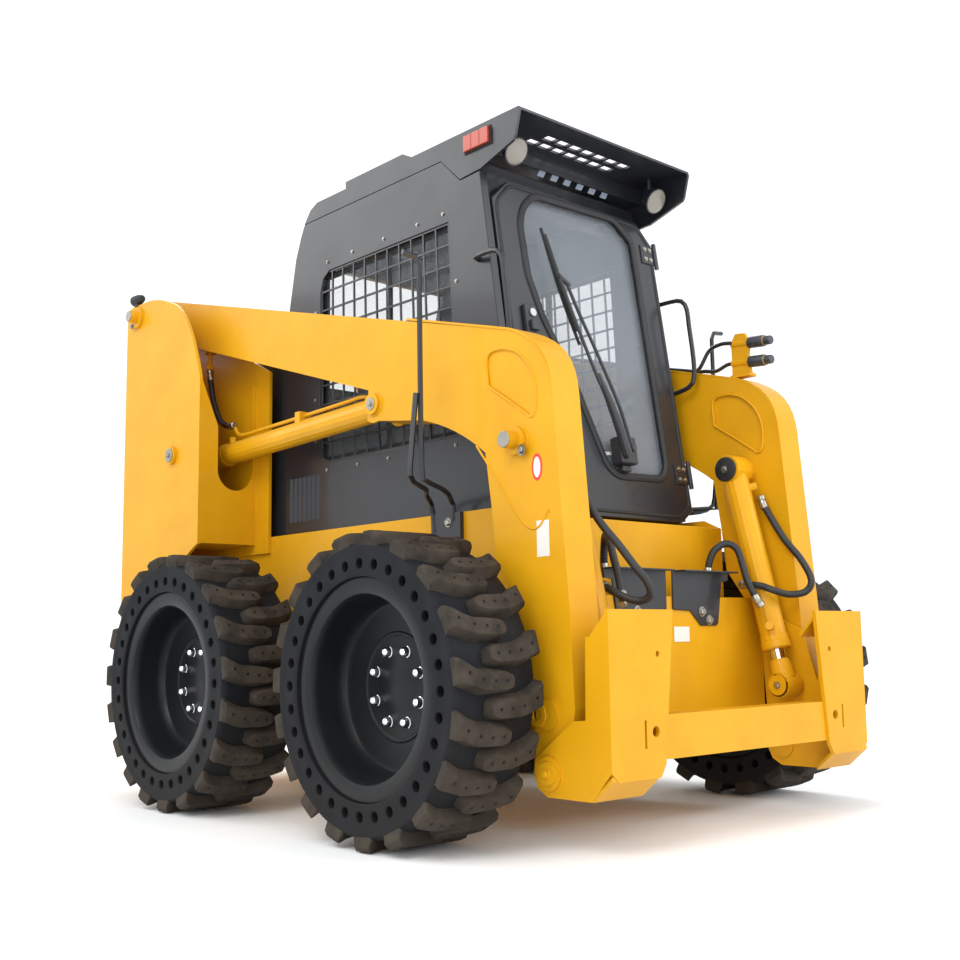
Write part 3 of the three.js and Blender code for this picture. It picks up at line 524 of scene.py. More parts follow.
# ---------------------------------------------------------------- pieces
def publish(name: str, surface: Surface, finish: Finish, body: str | None, *, bevel: float = 0.0,
            replaced: Sequence[str] = (), crease_deg: float = 35.0) -> bpy.types.Object:
    """Makes a finished piece from a surface, gives it its finish and lets it ride on a CAD body.

    Args:
        name: The piece's name.
        surface: Its points and faces in drawing millimetres.
        finish: The finish it is painted or moulded in.
        body: The CAD body it moves with, or None to leave it on no body.
        bevel: Width of the rounding on its edges, in millimetres, or zero.
        replaced: CAD nodes that it stands for.
        crease_deg: Angle above which an edge stays sharp.

    Returns:
        The new object.
    """
    mesh = bpy.data.meshes.new(name)
    mesh.from_pydata(place(surface.points).tolist(), [], surface.faces)
    shell = bmesh.new()
    shell.from_mesh(mesh)
    bmesh.ops.remove_doubles(shell, verts=shell.verts, dist=2e-5)
    bmesh.ops.recalc_face_normals(shell, faces=shell.faces)
    shell.to_mesh(mesh)
    shell.free()
    mesh.polygons.foreach_set("use_smooth", np.ones(len(mesh.polygons), dtype=bool))
    mesh.set_sharp_from_angle(angle=math.radians(crease_deg))
    mesh.materials.append(finish.material())
    obj = bpy.data.objects.new(name, mesh)
    bpy.context.scene.collection.objects.link(obj)
    if bevel > 0:
        rounding = obj.modifiers.new("edge_rounding", "BEVEL")
        rounding.width = bevel * MM
        rounding.segments = 2
        rounding.limit_method = "ANGLE"
        rounding.angle_limit = math.radians(crease_deg)
        rounding.harden_normals = True
    if body is not None:
        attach(obj, body)
    if replaced:
        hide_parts(*replaced)
    LOG.info("%s: %d faces on %s", name, len(mesh.polygons), body)
    return obj


@dataclass
class CarriedSteel:
    """CAD nodes that stay: they get a real finish, and their hard edges get a small rounding."""

    nodes: dict[str, bpy.types.Object]
    rounding_mm: float = 2.5
    finishes: dict[str, Finish] = field(default_factory=lambda: {
        "yellow_paint": YELLOW, "black_paint": BLACK, "rim_paint": RIM_BLACK, "tyre": SIDEWALL,
        "glass": CLEAR_PANE, "chrome": CHROME, "hose": HOSE, "seat_cover": VINYL,
        "plastic": PLASTIC, "cast_grey": CAST,
    })

    def dress(self, slots: dict[str, str]) -> None:
        """Paints every node by its slot and rounds its edges.

        Args:
            slots: Node name to the record's material slot.
        """
        for name, node in self.nodes.items():
            finish = DOOR_PANE if name == "cab_door_glass" else self.finishes[slots[name]]
            node.data.materials.clear()
            node.data.materials.append(finish.material())
            if slots[name] != "glass":
                self._round(node)
            LOG.info("%s painted %s", name, finish.name)

    def _round(self, node: bpy.types.Object) -> None:
        """Welds the loose triangles, dissolves flat ones and bevels what is left sharp."""
        node.modifiers.new("weld", "WELD").merge_threshold = 2e-5
        flat = node.modifiers.new("flat_faces", "DECIMATE")
        flat.decimate_type = "DISSOLVE"
        flat.angle_limit = math.radians(0.5)
        edge = node.modifiers.new("edge_rounding", "BEVEL")
        edge.width = self.rounding_mm * MM
        edge.segments = 2
        edge.limit_method = "ANGLE"
        edge.angle_limit = math.radians(40)
        edge.harden_normals = False
        node.modifiers.new("even_shading", "WEIGHTED_NORMAL").keep_sharp = True


@dataclass
class SolidTyre:
    """A solid tyre with round apertures through its sidewalls and two staggered rows of bent lugs."""

    name: str
    hub_x: float
    side: int
    aperture_count: int = 32
    aperture_radius: float = 14.0
    aperture_pitch: float = 329.5
    band: float = 29.5
    wall_y: float = 135.0
    base_radius: float = 388.0
    lug_count: int = 19
    lug_top: float = 418.5
    first_lug: float = math.radians(2.0)

    def _polar(self, radius: np.ndarray, angle: np.ndarray, across: np.ndarray) -> np.ndarray:
        """Points at a radius and angle about the axle, and a distance across from the tyre's middle."""
        radius, angle, across = np.broadcast_arrays(radius, angle, across)
        return np.stack([
            self.hub_x + radius * np.cos(angle),
            self.side * (TYRE_MIDDLE + across),
            AXLE_Z + radius * np.sin(angle),
        ], axis=-1)

    def _ring_angles(self) -> np.ndarray:
        """Angles of the points round the tyre: four to a cell, spaced as the tangent of equal steps."""
        step = 2 * np.pi / self.aperture_count
        local = np.tan(np.radians([-45, -22.5, 0, 22.5])) * step / 2
        return (np.arange(self.aperture_count)[:, None] * step + local[None, :]).ravel()

    def _pierced_wall(self, sign: int) -> Surface:
        """One sidewall band: each cell runs from its square edge to a round hole, then down the hole."""
        step = 2 * np.pi / self.aperture_count
        steps = 16
        phi = np.radians(np.arange(steps) * 360 / steps)
        cosine, sine = np.cos(phi), np.sin(phi)
        largest = np.maximum(np.abs(cosine), np.abs(sine))
        centre = np.arange(self.aperture_count)[:, None] * step
        edge_angle = centre + step / 2 * cosine / largest
        edge_radius = self.aperture_pitch + self.band * sine / largest
        cells = []
        for size, depth in ((self.aperture_radius + 2.0, 0.0), (self.aperture_radius, 2.5),
                            (self.aperture_radius, 70.0), (0.5, 71.0)):
            hole_angle = centre + size * cosine / self.aperture_pitch
            hole_radius = self.aperture_pitch + size * sine
            cells.append(self._polar(hole_radius, hole_angle, np.array(sign * (self.wall_y - depth))))
        rim = self._polar(edge_radius, edge_angle, np.array(sign * self.wall_y))
        rings = np.stack([rim, *cells], axis=1)
        quads = np.array(grid_faces(rings.shape[1], steps, False, True))
        first = np.arange(self.aperture_count) * rings.shape[1] * steps
        faces = (quads[None] + first[:, None, None]).reshape(-1, 4).tolist()
        bottom = (rings.shape[1] - 1) * steps
        caps = (first[:, None] + bottom + np.arange(steps)).tolist()
        return Surface(rings.reshape(-1, 3), faces + caps)

    def _turned(self, profile: Sequence[Point]) -> Surface:
        """Turns an open profile of (radius, across) pairs round the axle on the cells' own angles."""
        profile = np.array(profile, dtype=float)
        angle = self._ring_angles()[:, None]
        points = self._polar(profile[None, :, 0], angle, profile[None, :, 1])
        return Surface(points.reshape(-1, 3), grid_faces(len(angle), len(profile), True, False))

    def carcass(self) -> Surface:
        """The tyre without its lugs.

        Returns:
            One closed surface.
        """
        outer = self.aperture_pitch + self.band
        inner = self.aperture_pitch - self.band
        base = self.base_radius
        crown = [(outer, self.wall_y), (372, 137), (378, 136.5), (384, 131), (base, 116), (base, 60),
                 (base, 0)]
        tread = crown + [(r, -a) for r, a in crown[-2::-1]]
        seat = [(inner, self.wall_y), (295, 133), (294.3, 117), (254.3, 110), (254.3, -110), (294.3, -117),
                (295, -133), (inner, -self.wall_y)]
        walls = [self._pierced_wall(sign) for sign in (1, -1)]
        return together([self._turned(tread), self._turned(seat), *walls])

    def _lug(self, angle: float, hand: int) -> Surface:
        """One bent lug, lofted from the sidewall's edge over the shoulder and past the tyre's middle.

        Each station gives the top's distance across, its distance along the tread, its radius and half width,
        then the foot's distance across, radius and half width.
        """
        stations = np.array([
            (136.6, 37, 381, 37, 131.0, 374, 40),
            (142.0, 39, 405, 34, 130.0, 378, 41),
            (136.0, 37, 415, 31, 126.0, 382, 41),
            (122.0, 32, 418.5, 27, 118.0, 384, 40),
            (92.0, 18, 418.5, 24.5, 92.0, 384, 38),
            (66.0, 10, 418.5, 24, 66.0, 384, 37),
            (20.0, 8, 418.5, 24, 20.0, 384, 36),
            (-12.0, 7, 418.5, 23, -16.0, 384, 34),
            (-30.0, 7, 418.5, 16, -38.0, 384, 25),
            (-36.0, 7, 416, 9, -44.0, 384, 15),
        ])
        across, along, radius, half, foot_across, foot_radius, foot_half = stations.T
        columns = []
        for reach, lift in ((1, -3), (0.88, 0), (-0.88, 0), (-1, -3)):
            turn = angle + (along + reach * half) / self.lug_top
            columns.append(self._polar(radius + lift, turn, hand * across))
        for reach in (-1, 1):
            turn = angle + (along + reach * foot_half) / self.lug_top
            columns.append(self._polar(foot_radius, turn, hand * foot_across))
        return loft(np.stack(columns, axis=1))

    def _rows(self) -> list[tuple[int, float]]:
        """The side and angle of every lug: the inner row stands half a pitch behind the outer one."""
        pitch = 2 * np.pi / self.lug_count
        return [(hand, self.first_lug + (k + start) * pitch)
                for hand, start in ((1, 0.0), (-1, 0.5)) for k in range(self.lug_count)]

    def lugs(self) -> Surface:
        """Both rows of lugs."""
        return together([self._lug(angle, hand) for hand, angle in self._rows()])

    def lug_dimples(self) -> Surface:
        """Four small dark round spots on each lug's top, where its dimples are, as thin discs set just above
        it.
        """
        discs = []
        for hand, angle in self._rows():
            for along, across in ((31, 112), (14, 68), (9, 28), (8, -10)):
                turn = angle + along / self.lug_top
                centre = self._polar(np.array(self.lug_top - 1.0), np.array(turn), np.array(hand * across))
                outward = np.array([math.cos(turn), 0.0, math.sin(turn)])
                discs.append(rod_between(centre, centre + 1.4 * outward, 4.5, 8))
        return together(discs)

    def build(self) -> None:
        """Makes the carcass, the lugs and the dark dimple spots of this wheel's tyre."""
        body = f"wheel_{self.name}"
        publish(f"tyre_carcass_{self.name}", self.carcass(), SIDEWALL, body, replaced=[f"tyre_{self.name}"])
        publish(f"tyre_lugs_{self.name}", self.lugs(), TREAD, body, crease_deg=40)
        publish(f"tyre_lug_dimple_discs_{self.name}", self.lug_dimples(), SIDEWALL, body)


@dataclass
class WheelRim:
    """A deep dished steel rim with rolled lips and a disc held by eight domed nuts."""

    name: str
    hub_x: float
    side: int
    nut_count: int = 8
    nut_circle: float = 101.6

    def _profile(self) -> list[Point]:
        """The closed rim section as (radius, distance from the machine's middle)."""
        hub_and_back = [(0, 566), (66, 566), (66, 769), (231, 769), (236, 760), (240, 700), (240, 655),
                        (244, 650), (290, 650), (294, 653), (294, 658), (256, 664), (254, 668)]
        front_lip = [(254, 886), (256, 890), (291, 895), (294, 898), (293, 902), (288, 903), (262, 902),
                     (250, 898), (244, 888), (241, 870), (240, 820)]
        disc = [(236, 800), (226, 786), (212, 781), (150, 781), (146, 784), (140, 784), (136, 781),
                (70, 781), (66, 783), (0, 783)]
        return hub_and_back + front_lip + disc

    def build(self) -> None:
        """Makes the rim and its nuts."""
        body = f"wheel_{self.name}"
        profile = [(r, self.side * y) for r, y in self._profile()]
        hub = (self.hub_x, 0, AXLE_Z)
        publish(f"rim_dish_{self.name}", revolve(profile, hub, 96), RIM_BLACK, body,
                replaced=[f"rim_{self.name}"], crease_deg=30)
        nut = [(0, 781), (16, 781), (16, 783), (14, 784), (14, 791), (13, 797), (10, 801), (5, 804),
               (0, 805)]
        washer_and_dome = [(r, self.side * y) for r, y in nut]
        nuts = []
        for k in range(self.nut_count):
            angle = 2 * np.pi * (k + 0.5) / self.nut_count
            x = self.hub_x + self.nut_circle * math.cos(angle)
            z = AXLE_Z + self.nut_circle * math.sin(angle)
            nuts.append(revolve(washer_and_dome, (x, 0, z), 14))
        publish(f"wheel_nuts_{self.name}", together(nuts), CHROME, body)


@dataclass
class Hydraulics:
    """The flexible hoses of the lift and tilt cylinders with their crimped ends, pipes and couplers."""

    hose_diameter: float = 22.0
    routes: dict[str, list[Point]] = field(default_factory=lambda: {
        "tilt_hose_upper_right": [(884, 434, 985), (897, 434, 955), (920, 428, 915), (950, 405, 850),
                                  (985, 375, 790), (1015, 350, 735), (1038, 325, 690), (1038, 312, 655),
                                  (1010, 315, 640), (975, 328, 646), (930, 342, 668), (885, 326, 684),
                                  (862, 318, 690)],
        "tilt_hose_upper_left": [(884, 434, 985), (894, 436, 955), (916, 440, 915), (956, 447, 845),
                                 (1006, 462, 775), (1034, 468, 712), (1018, 458, 676), (985, 418, 668),
                                 (968, 362, 680), (935, 346, 694), (895, 338, 700), (862, 336, 702)],
        "tilt_hose_lower": [(945, 322, 632), (936, 312, 656), (914, 300, 712), (898, 300, 765),
                            (882, 296, 812), (853, 280, 829), (826, 256, 808), (812, 244, 765),
                            (808, 240, 715)],
        "lift_hose": [(-960, 521, 1590), (-948, 521, 1530), (-925, 521, 1460), (-890, 521, 1400),
                      (-850, 521, 1365), (-806, 521, 1352), (-770, 521, 1349)],
    })

    def hoses(self) -> None:
        """Makes the six hoses, which lie where their CAD solids are."""
        for kind in ("tilt_hose_upper", "tilt_hose_lower", "lift_hose"):
            for name, side in SIDES:
                route = self.routes.get(f"{kind}_{name}") or self.routes[kind]
                mirrored = [(x, side * y, z) for x, y, z in route]
                path = smooth_path(mirrored, 12)
                hose = self._hose(f"{kind}_{name}_rubber", path, f"{kind}_{name}")
                metres = place(path)
                barrel = f"{kind.split('_')[0]}_barrel_{name}"
                ends = ["lift_arm", barrel] if kind == "lift_hose" else [barrel, "lift_arm"]
                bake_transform(hose)
                self._crimps(f"{kind}_{name}", path, ends)

    def _hose(self, name: str, path: np.ndarray, node: str) -> bpy.types.Object:
        """Makes one hose with a UV map that counts spiral turns along it."""
        surface = sweep(path, self.hose_diameter / 2, 12)
        hose = publish(name, surface, HOSE, None, replaced=[node])
        mesh = hose.data
        run = np.concatenate([[0], np.cumsum(np.linalg.norm(np.diff(path, axis=0), axis=1))])
        turns = run / HOSE.pitch_mm
        metres = place(path)
        corners = np.zeros(len(mesh.loops), dtype=np.int32)
        mesh.loops.foreach_get("vertex_index", corners)
        spots = np.zeros(3 * len(mesh.vertices))
        mesh.vertices.foreach_get("co", spots)
        spots = spots.reshape(-1, 3)[corners]
        nearest = np.linalg.norm(spots[:, None, :] - metres[None, :, :], axis=2).argmin(axis=1)
        layer = mesh.uv_layers.new(name="along")
        layer.data.foreach_set("uv", np.stack([turns[nearest] * 0.3, np.zeros(len(nearest))], axis=1).ravel())
        return hose

    def _crimps(self, label: str, path: np.ndarray, bodies: Sequence[str]) -> None:
        """A crimped ferrule on each end of a hose, riding on the body that the end is screwed into."""
        for place_name, body, end, inner in (("first", bodies[0], path[0], path[6]),
                                             ("last", bodies[1], path[-1], path[-7])):
            along = (inner - end) / np.linalg.norm(inner - end)
            stations = np.array([-2, 0, 12, 13, 16, 38, 40])[:, None] * along + end
            ferrule = sweep(stations, np.array([12, 14, 14, 11.8, 13.5, 13.5, 12.2]), 14)
            publish(f"{label}_ferrule_{place_name}", ferrule, ZINC, body)

    def barrel_pipes(self) -> None:
        """The hard pipe that runs along each lift barrel, with its clamp."""
        for name, side in SIDES:
            y = side * LIFT_LANE
            pipe = bent_rod([(75, y, 1322), (20, y, 1330), (-60, y, 1326), (-400, y, 1313), (-560, y, 1308),
                             (-690, y, 1304), (-740, y, 1312), (-765, y, 1338)], 7, 10)
            clamp = slab((-330, y - 24, 1270), (-300, y + 24, 1330))
            publish(f"lift_pipe_{name}", pipe + clamp, YELLOW, f"lift_barrel_{name}", bevel=1.0)

    def coupler_pipes(self) -> None:
        """Two black pipes that run from the couplers back along the left arm's top edge."""
        pipes = []
        for y, z in ((505, 1530), (541, 1464)):
            route = [(742, y, z), (700, y, z + 4), (650, y, z - 10), (600, y, 1462), (540, y, 1470),
                     (300, y, 1530), (-200, y, 1664), (-700, y, 1797), (-1000, y, 1874)]
            pipes.append(bent_rod(route, 7, 10))
        publish("coupler_pipes", together(pipes), BLACK, "lift_arm")
        stations = [802, 806, 862, 868, 869, 888, 892]
        radii = np.array([15, 19.5, 19.5, 17, 15, 15, 13.5])
        noses = []
        for z in (1528, 1462):
            line = np.array([(x, 523, z - 5 - 0.075 * (x - 800)) for x in stations])
            noses.append(sweep(line, radii, 20))
        publish("coupler_noses", together(noses), PHOSPHATE, "lift_arm")

    def build(self) -> None:
        """Makes every hose and pipe."""
        self.hoses()
        self.barrel_pipes()
        self.coupler_pipes()


# ---------------------------------------------------------------- cab
@dataclass
class DoorPlane:
    """The leaning plane of the cab door: across is Y, up runs along the door's slope."""

    foot_x: float = 646.0
    foot_z: float = 911.0
    lean: float = math.radians(8.4)

    def point(self, out: float, across: float, up: float) -> tuple[float, float, float]:
        """A point given by its distance out of the door's face, Y, and distance up the slope."""
        cosine, sine = math.cos(self.lean), math.sin(self.lean)
        return (self.foot_x + out * cosine - up * sine, across, self.foot_z + out * sine + up * cosine)

    def line(self, points: Sequence[Point]) -> list[tuple[float, float, float]]:
        """The same for a list of (out, across, up) points."""
        return [self.point(*p) for p in points]

    def lay(self, surface: Surface) -> Surface:
        """Puts a surface drawn as (out, across, up) on the plane."""
        return Surface(np.stack(self.point(*surface.points.T), axis=1), surface.faces)


@dataclass
class CabWindows:
    """The guarded side windows: a square bar grille, a sliding pane's frame and a row of small bolts."""

    wall_y: float = 408.0
    columns: int = 11
    rows: int = 10
    bar: float = 7.0
    rear_x: float = -371.0
    foot_z: float = 1171.0
    head_z: float = 1859.0

    def _front_x(self, z: float) -> float:
        """The window's slanted front edge at a height."""
        return 367 - 36 * (z - self.foot_z) / (self.head_z - self.foot_z)

    def grille(self, name: str, side: int) -> None:
        """Makes one side's grille of crossed square bars inside a flat border."""
        y0, y1 = span(side, self.wall_y - 10, self.wall_y - 4)
        parts = []
        for k in range(self.rows + 1):
            z = self.foot_z + (self.head_z - self.foot_z) * k / self.rows
            parts.append(slab((self.rear_x, y0, z - self.bar / 2), (self._front_x(z), y1, z + self.bar / 2)))
        lift = 0.8 * side
        for k in range(self.columns + 1):
            foot = self.rear_x + (self._front_x(self.foot_z) - self.rear_x) * k / self.columns
            head = self.rear_x + (self._front_x(self.head_z) - self.rear_x) * k / self.columns
            half = self.bar / 2
            outline = [(foot - half, self.foot_z), (foot + half, self.foot_z),
                       (head + half, self.head_z), (head - half, self.head_z)]
            parts.append(prism(outline, y0 + lift, y1 + lift, Axis.Y))
        publish(f"window_grille_{name}", together(parts), BLACK, "chassis", bevel=0.8,
                replaced=[f"side_grille_{name}"])

    def sliding_frame(self, name: str, side: int) -> None:
        """Makes the black frame of the two sliding panes behind the grille."""
        y0, y1 = span(side, 379.5, 389.5)
        head_front = self._front_x(self.head_z)
        bars = [slab((-372, y0, 1172), (366, y1, 1190)), slab((-372, y0, 1840), (head_front, y1, 1858)),
                slab((-372, y0, 1190), (-354, y1, 1840)), slab((-14, y0, 1190), (14, y1, 1840))]
        bars.append(prism([(348, 1190), (365, 1190), (332, 1840), (315, 1840)], y0, y1, Axis.Y))
        publish(f"sliding_window_frame_{name}", together(bars), SEAL, "chassis", bevel=1.5)

    def bolts(self, name: str, side: int) -> None:
        """Makes the small bright bolts that hold the grille all round its edge."""
        places = [(x, 1895) for x in (-330, -180, 0, 180, 310)]
        places += [(x, 1140) for x in (-330, -150, 20, 200, 360)]
        places += [(-402, z) for z in (1250, 1400, 1560, 1720)] + [(393, 1250), (384, 1440), (372, 1660)]
        parts = [side_bolt(spot, side * self.wall_y, side, 9, 4) for spot in places]
        publish(f"window_bolts_{name}", together(parts), ZINC, "chassis")

    def build(self) -> None:
        """Makes both sides."""
        for name, side in SIDES:
            self.grille(name, side)
            self.sliding_frame(name, side)
            self.bolts(name, side)


@dataclass
class CabDoor:
    """What is fixed to the glazed door: its seal, wiper, latch and hinges."""

    plane: DoorPlane = field(default_factory=DoorPlane)
    glass: tuple[Point, ...] = ((-232, 1005), (-175, 1058), (205, 1066), (288, 1000), (292, 195), (262, 150),
                                (40, 144), (-4, 172), (-118, 470), (-205, 630), (-250, 770), (-256, 945))

    def _rounded(self, outline: Sequence[Point], grow: float) -> np.ndarray:
        """Cuts each corner by a short arc after moving the outline outwards from its middle by grow.

        A corner is replaced by five points of a quadratic curve from 28 mm before it to 28 mm after it.
        """
        corners = np.array(outline, dtype=float)
        middle = corners.mean(axis=0)
        away = corners - middle
        corners = corners + grow * away / np.linalg.norm(away, axis=1, keepdims=True)
        before, after = np.roll(corners, 1, axis=0), np.roll(corners, -1, axis=0)
        reach = 28.0
        start = corners + reach * (before - corners) / np.linalg.norm(before - corners, axis=1, keepdims=True)
        end = corners + reach * (after - corners) / np.linalg.norm(after - corners, axis=1, keepdims=True)
        t = np.linspace(0, 1, 5)[None, :, None]
        curve = (1 - t) ** 2 * start[:, None] + 2 * t * (1 - t) * corners[:, None] + t ** 2 * end[:, None]
        return curve.reshape(-1, 2)

    def _loop_tube(self, outline: np.ndarray, out: float, radius: float, flat: float) -> Surface:
        """A closed seal: an oval section carried round the outline, its width in the plane."""
        ahead = np.roll(outline, -1, axis=0) - np.roll(outline, 1, axis=0)
        ahead /= np.linalg.norm(ahead, axis=1, keepdims=True)
        beside = np.stack([-ahead[:, 1], ahead[:, 0]], axis=1)
        angle = np.linspace(0, 2 * np.pi, 12, endpoint=False)
        ring = outline[:, None, :] + (radius * np.cos(angle))[None, :, None] * beside[:, None, :]
        height = np.broadcast_to(out + flat * np.sin(angle), ring.shape[:2])
        points = np.concatenate([height[..., None], ring], axis=-1).reshape(-1, 3)
        return Surface(points, grid_faces(len(outline), 12, True, True))

    def seal(self) -> None:
        """Makes the thick rubber seal round the pane."""
        outline = self._rounded(self.glass, 4)
        publish("door_seal", self.plane.lay(self._loop_tube(outline, 1, 13, 7)), SEAL, "cab_door")
        edge = [(-352, 22), (326, 22), (384, 62), (384, 1000), (322, 1070), (-284, 1070), (-352, 1000)]
        rim = self._rounded(edge, 0)
        publish("door_edge_seal", self.plane.lay(self._loop_tube(rim, 0, 6, 5)), SEAL, "cab_door")

    def wiper(self) -> None:
        """Makes the wiper motor's cover, the double arm and the blade."""
        motor = slab((0, 22, 172), (44, 100, 262)) + slab((0, 40, 150), (26, 82, 172))
        publish("wiper_motor_cover", self.plane.lay(motor), PLASTIC, "cab_door", bevel=6)
        arms = [bent_rod(self.plane.line(route), 5.5, 8) for route in (
            [(48, 40, 196), (56, -10, 330), (54, -70, 480), (46, -118, 640), (40, -150, 762)],
            [(48, 72, 220), (56, 30, 350), (54, -34, 510), (46, -88, 650), (40, -122, 752)],
        )]
        yoke = rod_between(self.plane.point(42, -156, 770), self.plane.point(42, -112, 744), 7, 10)
        pivots = [rod_between(self.plane.point(30, y, z), self.plane.point(58, y, z), 11, 16)
                  for y, z in ((40, 196), (72, 220))]
        cover = self.plane.line([(52, 40, 196), (58, 18, 262), (60, -22, 370), (58, -52, 452)])
        channel = sweep(np.array(cover), np.array([17, 16, 12, 6]), 10)
        publish("wiper_arm", together([*arms, yoke, *pivots, channel]), PLASTIC, "cab_door")
        rubber = bent_rod(self.plane.line([(13, -70, 560), (14, -130, 730), (13, -178, 940)]), 5, 8)
        spine = bent_rod(self.plane.line([(20, -84, 600), (27, -134, 745), (20, -174, 915)]), 7.5, 8)
        publish("wiper_blade", rubber + spine, SEAL, "cab_door")

    def latch(self) -> None:
        """Makes the lock's plate, button and pull."""
        plate = slab((0, -300, 560), (16, -248, 660))
        button = rod_between((16, -274, 632), (24, -274, 632), 13, 20)
        pull = slab((16, -290, 572), (30, -258, 606))
        publish("door_lock", self.plane.lay(plate + pull), PLASTIC, "cab_door", bevel=4)
        publish("door_lock_button", self.plane.lay(button), CHROME, "cab_door")

    def hinges(self) -> None:
        """Makes the two hinges: knuckles with a pin, and their bolted leaves."""
        for height, label in ((170, "lower"), (968, "upper")):
            knuckle = rod_between((6, 401, height - 48), (6, 401, height + 48), 8, 16)
            leaf = slab((-2, 330, height - 34), (5, 398, height + 34))
            publish(f"door_hinge_{label}", self.plane.lay(knuckle + leaf), BLACK, "cab_door", bevel=1.5)
            bolts = [bolt_head((5, y, height + dz), (1, 0, 0), 12, 5) for y in (348, 374) for dz in (-18, 18)]
            publish(f"door_hinge_bolts_{label}", self.plane.lay(together(bolts)), ZINC, "cab_door")

    def build(self) -> None:
        """Makes everything on the door."""
        self.seal()
        self.wiper()
        self.latch()
        self.hinges()


@dataclass
class CabFittings:
    """Work lamps, marker lamps, reflectors and the guards behind the cab."""

    def work_lamps(self) -> None:
        """Makes two round work lamps under the visor, tipped down to light the ground ahead."""
        facing = np.array([0.84, 0, -0.54])
        for name, side in SIDES:
            back = np.array([545.0, side * 335.0, 2060.0])
            housing = sweep(back + np.array([-4, 0, 8, 30, 40])[:, None] * facing,
                            np.array([16, 30, 38, 43, 44]), 32)
            stem = rod_between(back + (2, 0, 0), back + (2, 0, 66), 8, 12)
            publish(f"work_lamp_{name}", housing + stem, BLACK, "chassis")
            lens = sweep(back + np.array([38, 41, 44.5, 46])[:, None] * facing,
                         np.array([40, 40, 28, 1.0]), 32)
            publish(f"work_lamp_lens_{name}", lens, LAMP_LENS, "chassis")

    def marker_lamps(self) -> None:
        """Makes the orange-red marker lamp on each roof skirt: a ribbed lens in a thin base."""
        for name, side in SIDES:
            y0, y1 = span(side, 409.0, 413.0)
            base = slab((421, y0, 2056), (545, y1, 2118))
            y2, y3 = span(side, 413.0, 423.0)
            ribs = [slab((426 + 38.5 * k, y2, 2061), (464 + 38.5 * k, y3, 2113)) for k in range(3)]
            publish(f"marker_lamp_base_{name}", base, SEAL, "chassis", bevel=1.5)
            publish(f"marker_lamp_lens_{name}", together(ribs), MARKER_LENS, "chassis", bevel=2.5)

    def front_light_slots(self) -> None:
        """Makes six pale slanted reflectors on the cab's upper front wall."""
        strips = []
        for k in range(6):
            y = -150 + 60 * k
            outline = [(y - 22, 2026), (y + 8, 2026), (y + 22, 2048), (y - 8, 2048)]
            strips.append(prism(outline, 499, 503, Axis.X))
        publish("front_reflectors", together(strips), REFLECTOR, "chassis", bevel=1.5)

    def rear_guards(self) -> None:
        """Makes the dark side guards behind the cab and the small visor over the rear window."""
        outline = [(-715, 935), (-697, 935), (-554, 1622), (-640, 1640), (-850, 1640), (-880, 1464),
                   (-715, 1464)]
        for name, side in SIDES:
            guard = prism(outline, *span(side, 389, 399), Axis.Y)
            publish(f"engine_side_guard_{name}", guard, BLACK, "chassis", bevel=1.5)
        visor = [(-454, 2060), (-560, 2047), (-562, 2041), (-456, 2040)]
        publish("rear_window_visor", prism(visor, -372, 372, Axis.Y), BLACK, "chassis", bevel=1.0)

    def build(self) -> None:
        """Makes all the cab's fittings."""
        self.work_lamps()
        self.marker_lamps()
        self.front_light_slots()
        self.rear_guards()


@dataclass
class Seat:
    """The driver's seat: a crowned cushion and back of vinyl over foam with sewn channels."""

    channels: int = 4

    def _pad(self, low: Point, high: Point, crown: float, up: Axis) -> Surface:
        """A pad: a rounded box by the superellipse |u|^5 + |v|^5 = 1, crowned and with grooves across it.

        Rings of the superellipse shrink towards the top and bottom as a quarter circle does, the top
        rises by a cosine in both directions, and shallow cosine dips make the sewn channels.
        """
        low, high = np.array(low, float), np.array(high, float)
        centre, half = (low + high) / 2, (high - low) / 2
        a, b = [k for k in range(3) if k != up.value]
        steps = 64
        angle = np.linspace(0, 2 * np.pi, steps, endpoint=False)
        power = 2 / 5
        u = np.sign(np.cos(angle)) * np.abs(np.cos(angle)) ** power
        v = np.sign(np.sin(angle)) * np.abs(np.sin(angle)) ** power
        tilt = np.linspace(-np.pi / 2, np.pi / 2, 25)
        flat = np.linspace(0.02, 0.9, 8)
        ring = np.concatenate([flat, 0.9 + 0.1 * np.cos(tilt), flat[::-1]])
        level = np.concatenate([-np.ones(8), np.sin(tilt), np.ones(8)])
        points = np.zeros((len(ring), steps, 3))
        points[..., a] = centre[a] + half[a] * ring[:, None] * u
        points[..., b] = centre[b] + half[b] * ring[:, None] * v
        top = np.clip(level, 0, 1)[:, None]
        bulge = crown * np.cos(ring[:, None] * u * np.pi / 2) * np.cos(ring[:, None] * v * np.pi / 2)
        seams = -5 * np.maximum(np.cos(np.pi * self.channels * ring[:, None] * u), 0) ** 12
        body = centre[up.value] + (half[up.value] - crown) * level[:, None]
        points[..., up.value] = body + top * (bulge + seams)
        return loft(points)

    def build(self) -> None:
        """Makes the cushion and the leaning back."""
        pad = self._pad((-418, -222, 1103), (88, 222, 1213), 18, Axis.Z)
        cushion = publish("seat_pad", pad, VINYL, "chassis", replaced=["seat_cushion"], crease_deg=80)
        back = self._pad((-422, -212, 1218), (-304, 212, 1736), 14, Axis.X)
        lean = 0.12
        back.points[:, 0] -= lean * (back.points[:, 2] - 1216)
        backrest = publish("seat_backrest", back, VINYL, "chassis", replaced=["seat_back"], crease_deg=80)


